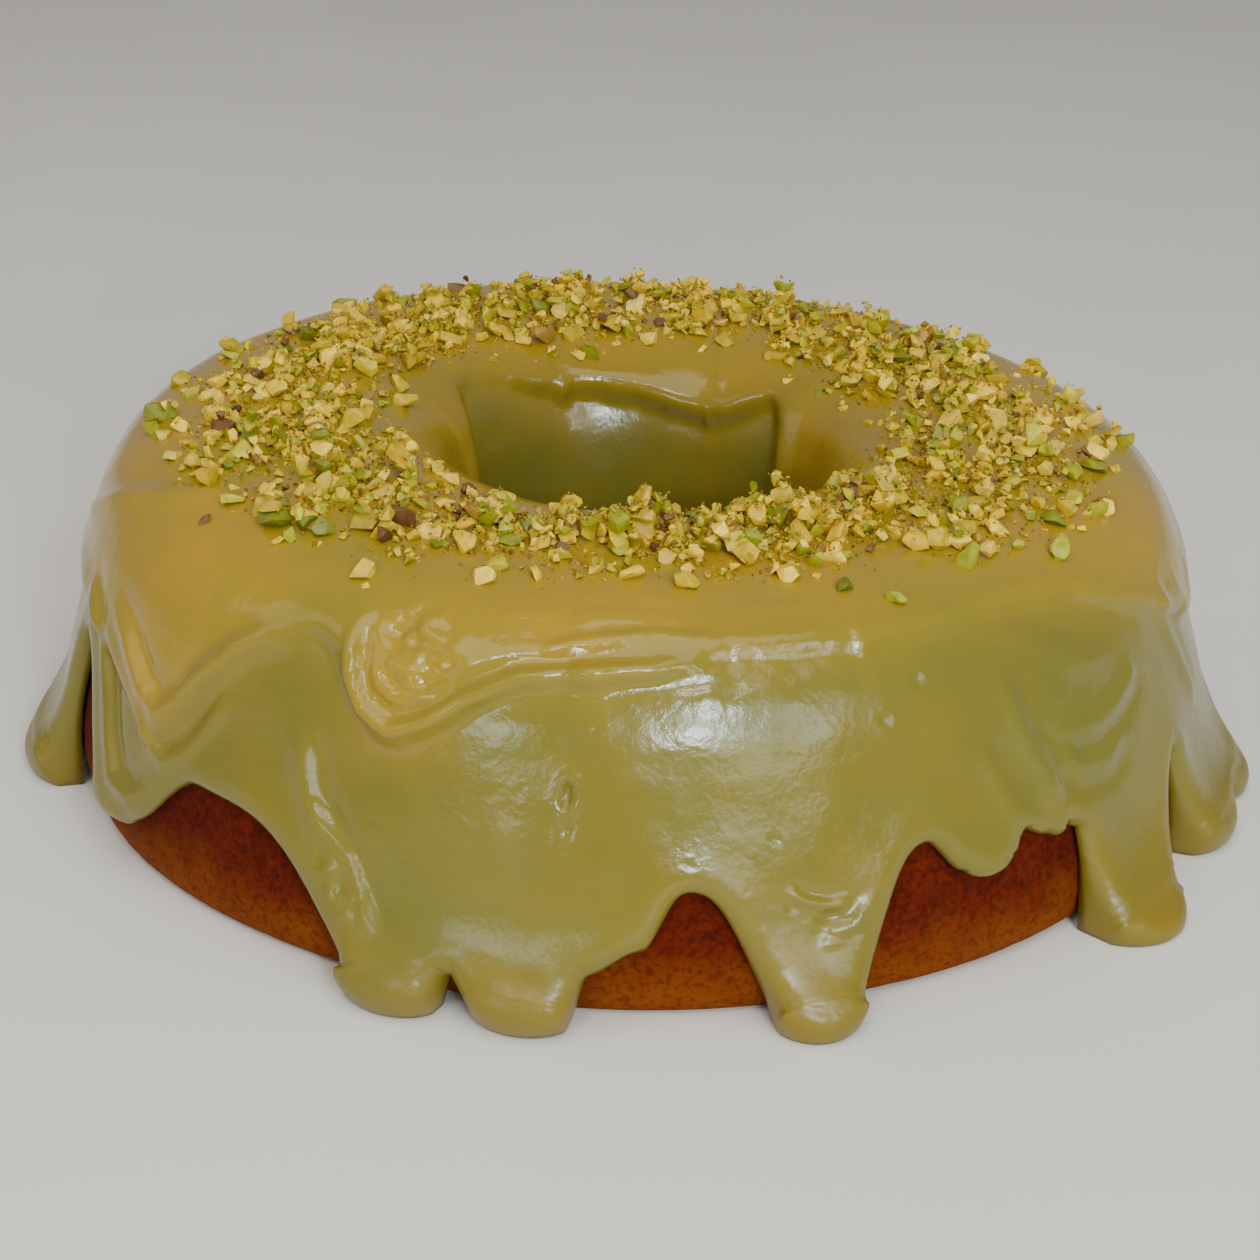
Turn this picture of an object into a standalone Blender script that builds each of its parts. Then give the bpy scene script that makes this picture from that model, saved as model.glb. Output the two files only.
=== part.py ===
"""Pistachio ring cake: a sponge ring under a poured glaze with chopped nuts on top.

Two solids. The cake is a turned ring, rounded at the shoulder and at the base. The glaze is
one closed shell over the ring. It lines the hole, covers the top and hangs down the side in
drips, and its longest drips end in round feet beside the base of the cake. The chopped nuts
are fused to the glaze. All sizes below are in millimetres and all angles in degrees.
An angle of 0 is the front (-Y) and angles grow towards the right-hand side (+X).
"""
import math

import bmesh
import bpy
import numpy as np
from mathutils.geometry import delaunay_2d_cdt
from mathutils.kdtree import KDTree

MM = 0.001

# Section of the cake, radius and height, from the foot of the hole over the top to the base
CAKE_SECTION = (
    (40.5, 0.0), (40.6, 14.0), (40.9, 30.0), (41.8, 46.0), (43.8, 57.0),
    (47.2, 64.4), (52.5, 68.8), (60.0, 70.4), (75.0, 70.9), (90.0, 70.6),
    (97.0, 69.2), (102.6, 66.0), (106.6, 61.8), (109.4, 56.0), (111.6, 48.0),
    (114.0, 39.0), (116.5, 30.0), (118.6, 22.0), (119.9, 14.0), (120.0, 8.0),
    (119.2, 4.0), (117.9, 1.4), (116.0, 0.0),
)
CAKE_SEGMENTS = 56
CAKE_TOLERANCE = 0.34

# The cake leans a little: heights grow to the back and to the left by this share per mm
LEAN_X = -0.00040
LEAN_Y = 0.00050

# Low waves of the side, with the number of waves round the ring, the size and the turn
SIDE_WAVES = ((3, 0.45, 20.0), (5, 0.30, 75.0), (8, 0.18, 140.0))

# Gap between the cake and the glaze
GAP = 0.42
PLATE_RADIUS = 120.6
CORNER_START = 11.0
FLOOR_REACH = 50.0

# Lower edge of the glaze on the side and front, drip by drip, in the order of the angles:
# angle of the tip, half its width, height of the tip, then angle and height of the arch that
# follows, then how long the edge hangs back before it falls to the tip, before and after it.
# A tip height below zero is a foot, and is how far the foot runs out beside the base.
DRIPS = (
    (-80.0, 6.0, -11.0, -70.4, 36.5, 1.2, 1.3),
    (-55.6, 3.6, 10.4, -43.0, 27.8, 1.7, 1.15),
    (-20.3, 4.1, -8.0, -15.0, 7.2, 2.9, 0.8),
    (-8.9, 3.9, -7.2, -3.7, 10.4, 0.8, 0.85),
    (0.9, 0.4, 15.6, 4.5, 27.0, 0.9, 1.6),
    (15.2, 3.6, -10.5, 26.0, 31.2, 1.75, 1.7),
    (32.2, 2.7, 21.7, 36.2, 28.6, 0.9, 0.8),
    (40.6, 1.2, 24.6, 43.4, 24.2, 0.8, 1.0),
    (49.3, 5.0, -15.3, 61.3, 25.9, 1.2, 1.1),
    (68.0, 4.8, -11.0, 73.4, -6.2, 0.8, 1.0),
    (79.2, 5.0, -12.5, 96.5, 27.5, 1.0, 1.3),
)

# Drips of the back, where a hanging lobe and a foot take turns
BACK_FIRST = 109.0
BACK_SPACING = 22.8
BACK_COUNT = 7
BACK_LOBE_HEIGHT = 12.5
BACK_FOOT_REACH = 9.8
BACK_ARCH_HEIGHT = 26.0

# Lower edge of the second, upper pour on the outer side, in the same terms
UPPER_DRIPS = (
    (-86.0, 3.0, 41.0, -72.0, 42.5, 1.0, 1.0),
    (-50.0, 0.8, 30.8, -30.7, 61.7, 2.2, 1.45),
    (-21.4, 2.6, 47.6, -9.0, 61.0, 1.3, 1.3),
    (-4.0, 2.0, 60.9, 11.0, 65.7, 1.0, 1.0),
    (22.0, 1.0, 64.7, 40.0, 66.0, 1.0, 1.0),
    (74.0, 4.0, 45.0, 104.0, 60.0, 1.4, 1.2),
    (129.0, 3.0, 46.0, 156.0, 62.0, 1.2, 1.6),
    (188.0, 2.5, 44.0, 216.0, 63.0, 1.7, 1.2),
    (243.0, 4.0, 49.0, 261.0, 56.0, 1.0, 1.0),
)

# Edge of the upper pour inside the hole, in the same terms
HOLE_UPPER_DRIPS = (
    (-101.0, 4.0, 14.0, -40.0, 22.0, 2.4, 1.0),
    (20.0, 8.0, 15.0, 70.0, 21.0, 1.0, 1.0),
    (118.0, 4.0, 14.0, 138.5, 63.5, 1.0, 1.6),
    (157.0, 1.5, 56.4, 184.0, 60.8, 0.8, 0.7),
    (205.0, 2.0, 60.4, 232.0, 67.0, 1.0, 1.0),
)

# Lower edge of the glaze inside the hole: height and its waves
HOLE_EDGE_HEIGHT = 5.6
HOLE_EDGE_WAVES = ((3, 1.3, 30.0), (5, 1.0, 80.0), (8, 0.6, 200.0))

# Roundness of the edge: powers of the S curves at an arch and at a foot, and the height at the
# shoulders of a tip, as a share of a foot's reach or per degree of a lobe's half width
ARCH_END = 1.4
FOOT_END = 0.75
FOOT_SHOULDER = 0.5
LOBE_SHOULDER = 0.9

# Depth of the glaze along its section, by the radius or height of the cake below it
HOLE_DEPTH = 1.5
TOP_DEPTH = 1.5
SIDE_DEPTHS = ((68, 1.5), (60, 2.0), (48, 2.9), (36, 3.3), (24, 3.2), (12, 3.1), (0, 3.2))
UPPER_DEPTH_TOP = 1.2
UPPER_DEPTH_SIDE = 1.9
UPPER_DEPTH_HOLE = 3.0
UPPER_ROUND = 3.2
LIP_DEPTH = 4.2
LIP_WIDTH = 6.5
LIP_ROUND = 3.8
LIP_START = 0.33
LIP_UNDERCUT = 0.6
FOOT_DEPTH = 3.9
FOOT_WIDTH_UP = 17.0
FOOT_WIDTH_OUT = 10.0
FOOT_ROUND = 7.4
FOOT_FILLET = 11.0
FOOT_FULL = 4.5

# Spacing of the points of the shell
RIM_STEP = 3.6
RIM_LINES = (0.9, 4.0)
SIDE_STEP = 8.0
TOP_STEP = 11.5
HOLE_STEP = 11.0

# Flat facets of the inner skin stand this much further off the cake
INNER_LIFT = 0.28

# Chopped nuts: how many, the ring that they lie on, and their lengths
NUT_COUNT = 124
NUT_SEED = 41
NUT_LENGTHS = (4.2, 8.0)
NUT_SUNK = 0.30
NUT_POINTS = 12
NUT_RING_INNER = 55.4
NUT_RING_OUTER = 95.0
NUT_RING_WAVES = ((3, 2.2, 150.0), (5, 1.6, 20.0))


def clear_scene():
    for obj in list(bpy.data.objects):
        bpy.data.objects.remove(obj, do_unlink=True)


def material(name, colour, roughness):
    mat = bpy.data.materials.new(name)
    mat.use_nodes = True
    shader = mat.node_tree.nodes["Principled BSDF"]
    shader.inputs["Base Color"].default_value = (*colour, 1.0)
    shader.inputs["Roughness"].default_value = roughness
    shader.inputs["Metallic"].default_value = 0.0
    return mat


def smoothstep(low, high, value):
    t = np.clip((value - low) / (high - low), 0.0, 1.0)
    return t * t * (3.0 - 2.0 * t)


def quarter_round(t):
    t = np.clip(t, 0.0, 1.0)
    return np.sqrt(np.maximum(0.0, 1.0 - (1.0 - t) ** 2))


def smooth_path(points, step):
    """Even points along a smooth curve through the given ones."""
    pts = np.array(points, float)
    run = np.concatenate(([0.0], np.cumsum(np.hypot(*np.diff(pts, axis=0).T))))
    tangents = np.gradient(pts, run, axis=0)
    t = np.linspace(0.0, run[-1], int(run[-1] / step) + 1)
    i = np.clip(np.searchsorted(run, t, side="right") - 1, 0, len(run) - 2)
    h = (run[i + 1] - run[i])[:, None]
    u = ((t - run[i])[:, None]) / h
    return ((2 * u ** 3 - 3 * u ** 2 + 1) * pts[i] + (u ** 3 - 2 * u ** 2 + u) * h * tangents[i]
            + (3 * u ** 2 - 2 * u ** 3) * pts[i + 1] + (u ** 3 - u ** 2) * h * tangents[i + 1])


def thin_path(path, tolerance):
    """Indices of the points that keep a polyline within the tolerance."""
    keep = [0, len(path) - 1]
    spans = [(0, len(path) - 1)]
    while spans:
        a, b = spans.pop()
        if b - a < 2:
            continue
        chord = path[b] - path[a]
        chord = chord / max(np.hypot(*chord), 1e-9)
        rest = path[a + 1:b] - path[a]
        off = np.abs(rest[:, 0] * chord[1] - rest[:, 1] * chord[0])
        worst = int(off.argmax())
        if off[worst] > tolerance:
            middle = a + 1 + worst
            keep.append(middle)
            spans += [(a, middle), (middle, b)]
    return sorted(keep)


def back_drips():
    """The drips of the back: lobes and feet in turn, no two the same."""
    rows = []
    for k in range(BACK_COUNT):
        tip = BACK_FIRST + BACK_SPACING * k + 2.6 * math.sin(2.1 * k)
        arch = tip + BACK_SPACING * (0.56 if k % 2 == 0 else 0.46)
        arch_height = BACK_ARCH_HEIGHT + 3.0 * math.sin(1.7 * k + 0.5)
        if k % 2 == 0:
            height = BACK_LOBE_HEIGHT + 3.0 * math.sin(2.3 * k)
            rows.append((tip, 1.6, height, arch, arch_height, 1.0, 1.1))
        else:
            reach = BACK_FOOT_REACH + 1.2 * math.sin(1.3 * k)
            rows.append((tip, 3.2, -reach, arch, arch_height, 1.4, 1.3))
    return tuple(rows)


def drip_edge(drips, angles):
    """Height of an edge round the ring: round tips, joined by S curves to the arches."""
    rows = sorted(drips)
    q = (np.asarray(angles, float) - rows[0][0]) % 360.0 + rows[0][0]
    height = np.zeros_like(q)
    for k, row in enumerate(rows):
        arch, high = row[3], row[4]
        following = rows[(k + 1) % len(rows)]
        next_tip = following[0] + (360.0 if k + 1 == len(rows) else 0.0)
        sides = ((row, row[0], row[6], 1.0, (q >= row[0]) & (q <= arch)),
                 (following, next_tip, following[5], -1.0, (q > arch) & (q <= next_tip)))
        for (_tip, half, low, _arch, _high, _before, _after), tip, hang, side, here in sides:
            foot = low < 0.0
            shoulder = FOOT_SHOULDER * low if foot else low + LOBE_SHOULDER * half
            u = np.clip((arch - q) / (arch - tip - side * half), 0.0, 1.0)
            fall = high + (shoulder - high) * s_curve(u, hang, FOOT_END if foot else ARCH_END)
            off = np.clip(np.abs(q - tip) / half, 0.0, 1.0)
            cap = low + (shoulder - low) * 2.0 * (1.0 - np.sqrt(1.0 - 0.75 * off ** 2))
            height = np.where(here, np.where(off < 1.0, cap, fall), height)
    return height


def s_curve(u, hang, end):
    """From 0 to 1. A larger hang keeps it near 0 for longer and makes the fall steeper."""
    up = np.power(u, ARCH_END * hang)
    down = np.power(1.0 - u, end / hang)
    return up / (up + down)


def waves(angles, table):
    total = 0.0
    for count, size, turn in table:
        total = total + size * np.sin(np.radians(count * np.asarray(angles, float) + turn))
    return total


def outer_edge(angles):
    return drip_edge(DRIPS + back_drips(), angles)


def hole_edge(angles):
    return HOLE_EDGE_HEIGHT + waves(angles, HOLE_EDGE_WAVES)


def upper_edge(angles):
    return drip_edge(UPPER_DRIPS, angles)


def hole_upper_edge(angles):
    return drip_edge(HOLE_UPPER_DRIPS, angles)


def nut_ring(angle):
    """Inner and outer radius of the ring of nuts, narrower at the front."""
    a = math.radians(angle)
    inner = NUT_RING_INNER + float(waves(angle, NUT_RING_WAVES))
    outer = (NUT_RING_OUTER - 6.0 * math.cos(a) + 4.0 * math.sin(a) ** 2
             + 0.8 * float(waves(angle + 70.0, NUT_RING_WAVES)))
    return inner, outer


def side_wave(angles, heights):
    """Small outward or inward swing of the side, which fades on the top."""
    total = 0.0
    for count, size, turn in SIDE_WAVES:
        total = total + size * np.sin(np.radians(count * angles + turn) + heights / 40.0)
    return total


def place(angles, radii, heights, wave):
    """Points in space from ring angle, radius and height."""
    a = np.radians(angles)
    r = radii + wave
    x = r * np.sin(a)
    y = -r * np.cos(a)
    z = heights * (1.0 + LEAN_X * x + LEAN_Y * y)
    return np.stack([x, y, z], axis=1)


class Carrier:
    """The line that the glaze lies on: up the hole, over the top, down and out on the floor."""

    def __init__(self):
        cake = smooth_path(CAKE_SECTION, 0.25)
        t = np.gradient(cake, axis=0)
        t = t / np.hypot(t[:, 0], t[:, 1])[:, None]
        skin = cake + GAP * np.stack([-t[:, 1], t[:, 0]], axis=1)
        outer = np.arange(len(skin)) > len(skin) // 2
        skin = skin[~(outer & (skin[:, 1] < CORNER_START))]
        skin[0, 1] = 0.0
        down = np.linspace(skin[-1, 1], 0.0, 45)[1:]
        blend = smoothstep(CORNER_START, 2.0, down)
        wall = np.stack([skin[-1, 0] + (PLATE_RADIUS - skin[-1, 0]) * blend, down], axis=1)
        out = np.linspace(PLATE_RADIUS, PLATE_RADIUS + FLOOR_REACH, 201)[1:]
        floor = np.stack([out, np.zeros_like(out)], axis=1)
        self.path = np.concatenate((skin, wall, floor))
        self.s = np.concatenate(([0.0], np.cumsum(np.hypot(*np.diff(self.path, axis=0).T))))
        self.corner = self.s[len(skin) + len(wall) - 1]
        self.top = self.s[int(np.argmin(np.abs(self.path[:len(skin), 0] - 75.0)))]
        radius = np.maximum(self.path[:, 0], 1.0)
        steps = np.diff(self.s) * 0.5 * (1.0 / radius[1:] + 1.0 / radius[:-1])
        self.map_radius = 5.0 * np.exp(np.concatenate(([0.0], np.cumsum(steps))))
        self.normal = self._directions()

    def _directions(self):
        even = np.arange(0.0, self.s[-1], 0.25)
        r = np.interp(even, self.s, self.path[:, 0])
        z = np.interp(even, self.s, self.path[:, 1])
        t = np.stack([np.gradient(r), np.gradient(z)], axis=1)
        t = t / np.hypot(t[:, 0], t[:, 1])[:, None]
        near = self._blurred(t, 2.5)
        wide = self._blurred(t, 13.0)
        mix = (1.0 - smoothstep(20.0, 38.0, np.abs(even - self.corner)))[:, None]
        t = near * (1.0 - mix) + wide * mix
        t = t / np.hypot(t[:, 0], t[:, 1])[:, None]
        self.even = even
        path = np.stack([r, z], axis=1)
        self.fillet = (self._blurred(path, FOOT_FILLET) - path) * mix
        return np.stack([-t[:, 1], t[:, 0]], axis=1)

    @staticmethod
    def _blurred(values, width):
        reach = int(width * 3 / 0.25)
        kernel = np.exp(-0.5 * (np.arange(-reach, reach + 1) * 0.25 / width) ** 2)
        kernel /= kernel.sum()
        padded = np.pad(values, ((reach, reach), (0, 0)), mode="edge")
        return np.stack([np.convolve(padded[:, k], kernel, mode="valid") for k in (0, 1)], axis=1)

    def at(self, s):
        return np.interp(s, self.s, self.path[:, 0]), np.interp(s, self.s, self.path[:, 1])

    def direction(self, s):
        return (np.interp(s, self.even, self.normal[:, 0]),
                np.interp(s, self.even, self.normal[:, 1]))

    def corner_fillet(self, s):
        """How far the corner between side and floor is filled under a foot."""
        return (np.interp(s, self.even, self.fillet[:, 0]),
                np.interp(s, self.even, self.fillet[:, 1]))

    def plane(self, angles, s):
        rho = np.interp(s, self.s, self.map_radius)
        a = np.radians(angles)
        return np.stack([rho * np.sin(a), -rho * np.cos(a)], axis=1)

    def outer_s(self, heights):
        part = (self.s >= self.top) & (self.s <= self.corner)
        on_side = np.interp(-np.maximum(heights, 0.0), -self.path[part, 1], self.s[part])
        return on_side + np.maximum(-np.asarray(heights, float), 0.0)

    def hole_s(self, heights):
        part = self.s <= self.top
        return np.interp(heights, self.path[part, 1], self.s[part])

    def top_s(self, radii):
        part = (self.s > self.top - 40.0) & (self.s < self.top + 40.0)
        return np.interp(radii, self.path[part, 0], self.s[part])


class Glaze:
    """The poured glaze as a depth over the carrier."""

    def __init__(self):
        self.line = Carrier()
        self.outer_rim = self._rim(outer_edge, self.line.outer_s)
        self.hole_rim = self._rim(hole_edge, self.line.hole_s)
        self.outer_tree = self._tree(self.outer_rim)
        self.hole_tree = self._tree(self.hole_rim)

    def _rim(self, edge, to_s):
        angles = np.arange(0.0, 360.0, 0.04) - 90.0
        return np.stack([angles, to_s(edge(angles))], axis=1)

    def _tree(self, rim):
        radius = float(self.line.at(rim[:, 1].mean())[0])
        tree = KDTree(len(rim) * 3)
        index = 0
        for turn in (-360.0, 0.0, 360.0):
            for angle, s in rim:
                tree.insert((math.radians(angle + turn) * radius, s, 0.0), index)
                index += 1
        tree.balance()
        return tree, radius

    @staticmethod
    def _distance(tree, angles, s):
        kd, radius = tree
        a = (np.asarray(angles) + 90.0) % 360.0 - 90.0
        x = np.radians(a) * radius
        return np.array([kd.find((px, py, 0.0))[2] for px, py in zip(x, s)])

    def rim_distances(self, angles, s):
        return (self._distance(self.outer_tree, angles, s),
                self._distance(self.hole_tree, angles, s))

    def upper_inside(self, angles, s):
        """How far a point is inside the edge of the upper pour."""
        inside = None
        for height, to_s, sign in ((upper_edge, self.line.outer_s, 1.0),
                                   (hole_upper_edge, self.line.hole_s, -1.0)):
            edge = to_s(height(angles))
            side = to_s(height(angles + 0.5))
            run = np.radians(0.5) * self.line.at(edge)[0]
            slope = np.hypot(1.0, (side - edge) / run)
            gap = sign * (edge - s) / slope
            inside = gap if inside is None else np.minimum(inside, gap)
        return inside

    def depth(self, angles, s, outer_gap, hole_gap):
        line = self.line
        r, z = line.at(s)
        heights = [k[0] for k in SIDE_DEPTHS][::-1]
        depths = [k[1] for k in SIDE_DEPTHS][::-1]
        side = np.interp(z, heights, depths)
        base = np.where(s > line.top, side, np.where(z > 60.0, TOP_DEPTH, HOLE_DEPTH))
        width = np.where(s < line.corner, FOOT_WIDTH_UP, FOOT_WIDTH_OUT)
        corner = np.exp(-((s - line.corner) / width) ** 2)
        lip = np.exp(-(outer_gap / LIP_WIDTH) ** 2)
        base = base + (LIP_DEPTH - base) * np.where(s > line.top, lip, 0.0)
        base = base + FOOT_DEPTH * corner
        roundness = LIP_ROUND + (FOOT_ROUND - LIP_ROUND) * corner
        swell = LIP_START + (1.0 - LIP_START) * quarter_round(outer_gap / roundness)
        swell = swell * (LIP_START + (1.0 - LIP_START) * quarter_round(hole_gap / 2.5))
        inside = self.upper_inside(angles, s)
        below = np.where(s > line.top, UPPER_DEPTH_SIDE, UPPER_DEPTH_HOLE)
        upper = UPPER_DEPTH_TOP + (below - UPPER_DEPTH_TOP) * (
            smoothstep(0.0, 14.0, np.abs(s - line.top) - 20.0))
        bead = 1.0 + 0.30 * np.exp(-((inside - 3.0) / 3.0) ** 2)
        return base * swell + upper * bead * quarter_round(inside / UPPER_ROUND)

    def skin(self, angles, s, depth):
        r, z = self.line.at(s)
        nr, nz = self.line.direction(s)
        fr, fz = self.line.corner_fillet(s)
        full = smoothstep(0.0, FOOT_FULL, depth)
        return place(angles, r + nr * depth + fr * full, z + nz * depth + fz * full,
                     side_wave(angles, z))

    def resample(self, rim, step):
        """Even points along a rim, as angle and s."""
        radius = self.line.at(rim[:, 1])[0]
        closed = np.concatenate((rim, rim[:1] + [[360.0, 0.0]]))
        arc = np.radians(np.diff(closed[:, 0])) * radius
        run = np.concatenate(([0.0], np.cumsum(np.hypot(arc, np.diff(closed[:, 1])))))
        count = int(round(run[-1] / step))
        at = np.linspace(0.0, run[-1], count, endpoint=False)
        return np.stack([np.interp(at, run, closed[:, 0]), np.interp(at, run, closed[:, 1])],
                        axis=1)

    def moved_in(self, rim, amount, sign):
        """A rim moved into the glaze. The sign is 1 on the outer rim and -1 in the hole."""
        radius = self.line.at(rim[:, 1])[0]
        ahead = np.roll(rim, -1, axis=0)
        behind = np.roll(rim, 1, axis=0)
        along_a = np.radians((ahead[:, 0] - behind[:, 0]) % 360.0) * radius
        along_s = ahead[:, 1] - behind[:, 1]
        length = np.hypot(along_a, along_s)
        inward_a = sign * along_s / length
        inward_s = -sign * along_a / length
        return np.stack([rim[:, 0] + np.degrees(inward_a * amount / radius),
                         rim[:, 1] + inward_s * amount], axis=1)


def spread_rows(line, low, high, step, shift, across=None):
    """Rows of points round the ring between two places on the carrier."""
    across = across or step
    rows = []
    count = max(1, int(round((high - low) / step)))
    for k, s in enumerate(np.linspace(low, high, count + 1)):
        radius = float(line.at(s)[0])
        around = max(12, int(round(2.0 * math.pi * radius / across)))
        angles = (np.arange(around) + 0.5 * ((k + shift) % 2)) * 360.0 / around - 90.0
        rows.append(np.stack([angles, np.full(around, s)], axis=1))
    return np.concatenate(rows)


def keep_apart(points, line, fixed, least):
    """The points that lie at least this far from the fixed ones and from each other."""
    tree_points = list(fixed)
    cell = {}
    kept = []

    def key(x, y):
        return int(math.floor(x / least)), int(math.floor(y / least))

    def near(angle, s):
        radius = float(line.at(s)[0])
        kx, ky = key(math.radians(angle) * 100.0, s)
        for i in (-2, -1, 0, 1, 2):
            for j in (-2, -1, 0, 1, 2):
                for a, t in cell.get((kx + i, ky + j), ()):
                    if math.hypot(math.radians(a - angle) * radius, t - s) < least:
                        return True
        return False

    for angle, s in tree_points:
        cell.setdefault(key(math.radians(angle) * 100.0, s), []).append((angle, s))
    for angle, s in points:
        if not near(angle, s):
            kept.append((angle, s))
            cell.setdefault(key(math.radians(angle) * 100.0, s), []).append((angle, s))
    return np.array(kept).reshape(-1, 2)


def triangles(glaze, rims, inner_points):
    """Delaunay triangles between the rims. Points are numbered rims first."""
    points = np.concatenate(list(rims) + [inner_points])
    plane = glaze.line.plane(points[:, 0], points[:, 1])
    edges = []
    loops = []
    start = 0
    for rim in rims:
        count = len(rim)
        loops.append((start, count))
        edges += [(start + k, start + (k + 1) % count) for k in range(count)]
        start += count
    verts, _edges, faces, original, _e, _f = delaunay_2d_cdt(
        [tuple(p) for p in plane], edges, [], 0, 1e-7)
    number = [ids[0] for ids in original]
    outer = plane[loops[0][0]:loops[0][0] + loops[0][1]]
    hole = plane[loops[1][0]:loops[1][0] + loops[1][1]]
    result = []
    for face in faces:
        tri = [number[k] for k in face]
        if max(tri) < start:
            x, y = plane[tri].mean(axis=0)
            if not inside_loop(outer, x, y) or inside_loop(hole, x, y):
                continue
        result.append(tri)
    return points, result


def inside_loop(loop, x, y):
    x0, y0 = loop[:, 0], loop[:, 1]
    x1, y1 = np.roll(x0, -1), np.roll(y0, -1)
    crosses = (y0 > y) != (y1 > y)
    span = np.where(y1 == y0, 1.0, y1 - y0)
    at = x0 + (y - y0) * (x1 - x0) / span
    return bool(np.count_nonzero(crosses & (at > x)) % 2)


def glaze_mesh(glaze):
    """The closed shell: an outer skin, an inner skin on the cake, and the lip between them."""
    line = glaze.line
    rims = [glaze.resample(glaze.outer_rim, RIM_STEP), glaze.resample(glaze.hole_rim, 6.0)]
    contacts = [glaze.moved_in(rims[0], LIP_UNDERCUT, 1.0),
                glaze.moved_in(rims[1], LIP_UNDERCUT, -1.0)]

    rings = []
    for gap in RIM_LINES:
        dense = glaze.moved_in(glaze.resample(glaze.outer_rim, 1.0), gap, 1.0)
        reach = glaze.rim_distances(dense[:, 0], dense[:, 1])[0]
        dense = dense[reach > gap * 0.93]
        if gap < 1.0:
            ring = glaze.moved_in(rims[0], gap, 1.0)
            near = glaze.rim_distances(ring[:, 0], ring[:, 1])[0]
            rings.append(keep_apart(ring[near > gap * 0.8], line, [], RIM_STEP * 0.8))
        else:
            rings.append(keep_apart(dense, line, [], RIM_STEP * 1.3))
    hole_line = glaze.moved_in(rims[1], 2.4, -1.0)
    lines = np.concatenate(rings + [hole_line])

    grid = np.concatenate([
        spread_rows(line, 6.0, line.top - 33.0, HOLE_STEP, 0),
        spread_rows(line, line.top - 27.0, line.top + 17.0, TOP_STEP, 1),
        spread_rows(line, line.top + 22.0, line.top + 40.0, SIDE_STEP * 0.8, 0),
        spread_rows(line, line.top + 46.0, line.corner + 12.0, SIDE_STEP, 1),
    ])
    grid = grid[grid[:, 1] < line.outer_s(outer_edge(grid[:, 0]))]
    grid = grid[grid[:, 1] > line.hole_s(hole_edge(grid[:, 0]))]
    outer_gap, hole_gap = glaze.rim_distances(grid[:, 0], grid[:, 1])
    grid = grid[(outer_gap > RIM_LINES[-1] + 1.8) & (hole_gap > 5.0)]

    upper_lines = []
    angles = np.arange(-90.0, 270.0, 1.6)
    for gap in (0.0, 2.6):
        edge = line.outer_s(upper_edge(angles))
        upper_lines.append(np.stack([angles, edge - gap], axis=1))
    upper_lines = np.concatenate(upper_lines)
    gap_out = glaze.rim_distances(upper_lines[:, 0], upper_lines[:, 1])[0]
    upper_lines = keep_apart(upper_lines[gap_out > 5.5], line, [], 3.4)
    grid = keep_apart(grid, line, upper_lines, 3.6)
    free = keep_apart(np.concatenate([upper_lines, grid]), line, lines, 2.2)
    points, outer_faces = triangles(glaze, rims, np.concatenate([lines, free]))
    outer_gap, hole_gap = glaze.rim_distances(points[:, 0], points[:, 1])
    count0, count1 = len(rims[0]), len(rims[1])
    outer_gap[:count0] = 0.0
    hole_gap[count0:count0 + count1] = 0.0
    depth = glaze.depth(points[:, 0], points[:, 1], outer_gap, hole_gap)
    outer = glaze.skin(points[:, 0], points[:, 1], depth)

    inner_grid = np.concatenate([
        spread_rows(line, 14.0, line.top - 52.0, 16.0, 0, 15.0),
        spread_rows(line, line.top - 46.0, line.top - 18.0, 4.0, 1, 13.0),
        spread_rows(line, line.top - 6.0, line.top + 10.0, 16.0, 0, 17.0),
        spread_rows(line, line.top + 17.0, line.top + 41.0, 4.2, 0, 14.0),
        spread_rows(line, line.top + 50.0, line.corner - 25.0, 12.0, 1, 14.0),
        spread_rows(line, line.corner - 18.0, line.corner - 6.0, 6.0, 0, 12.0),
        spread_rows(line, line.corner, line.corner + 0.1, 4.0, 1, 6.0),
    ])
    inner_grid = inner_grid[inner_grid[:, 1] < line.outer_s(outer_edge(inner_grid[:, 0]))]
    outer_gap, hole_gap = glaze.rim_distances(inner_grid[:, 0], inner_grid[:, 1])
    inner_grid = inner_grid[(outer_gap > 2.6) & (hole_gap > 4.0)]
    inner_points, inner_faces = triangles(glaze, contacts, inner_grid)
    lift = np.where(inner_points[:, 1] < line.corner - 3.0, INNER_LIFT, 0.0)
    lift[:count0 + count1] = 0.0
    inner = glaze.skin(inner_points[:, 0], inner_points[:, 1], lift)

    shift = len(outer)
    faces = [tuple(f) for f in outer_faces]
    faces += [(shift + a, shift + c, shift + b) for a, b, c in inner_faces]
    for start, count, outward in ((0, count0, True), (count0, count1, False)):
        for k in range(count):
            a, b = start + k, start + (k + 1) % count
            if outward:
                faces += [(b, a, shift + a), (b, shift + a, shift + b)]
            else:
                faces += [(a, b, shift + b), (a, shift + b, shift + a)]
    return np.concatenate([outer, inner]), faces


def cake_mesh():
    """The ring, turned round its axis from a thinned section."""
    path = smooth_path(CAKE_SECTION, 0.25)
    path[0, 1] = 0.0
    path[-1, 1] = 0.0
    section = path[thin_path(path, CAKE_TOLERANCE)]
    rows = len(section)
    angles = np.arange(CAKE_SEGMENTS) * 360.0 / CAKE_SEGMENTS
    a = np.repeat(angles, rows)
    r = np.tile(section[:, 0], CAKE_SEGMENTS)
    z = np.tile(section[:, 1], CAKE_SEGMENTS)
    points = place(a, r, z, side_wave(a, z))
    faces = []
    for k in range(CAKE_SEGMENTS):
        here, there = k * rows, ((k + 1) % CAKE_SEGMENTS) * rows
        for row in range(rows):
            above = (row + 1) % rows
            faces.append((here + row, here + above, there + above, there + row))
    return points, faces


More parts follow.
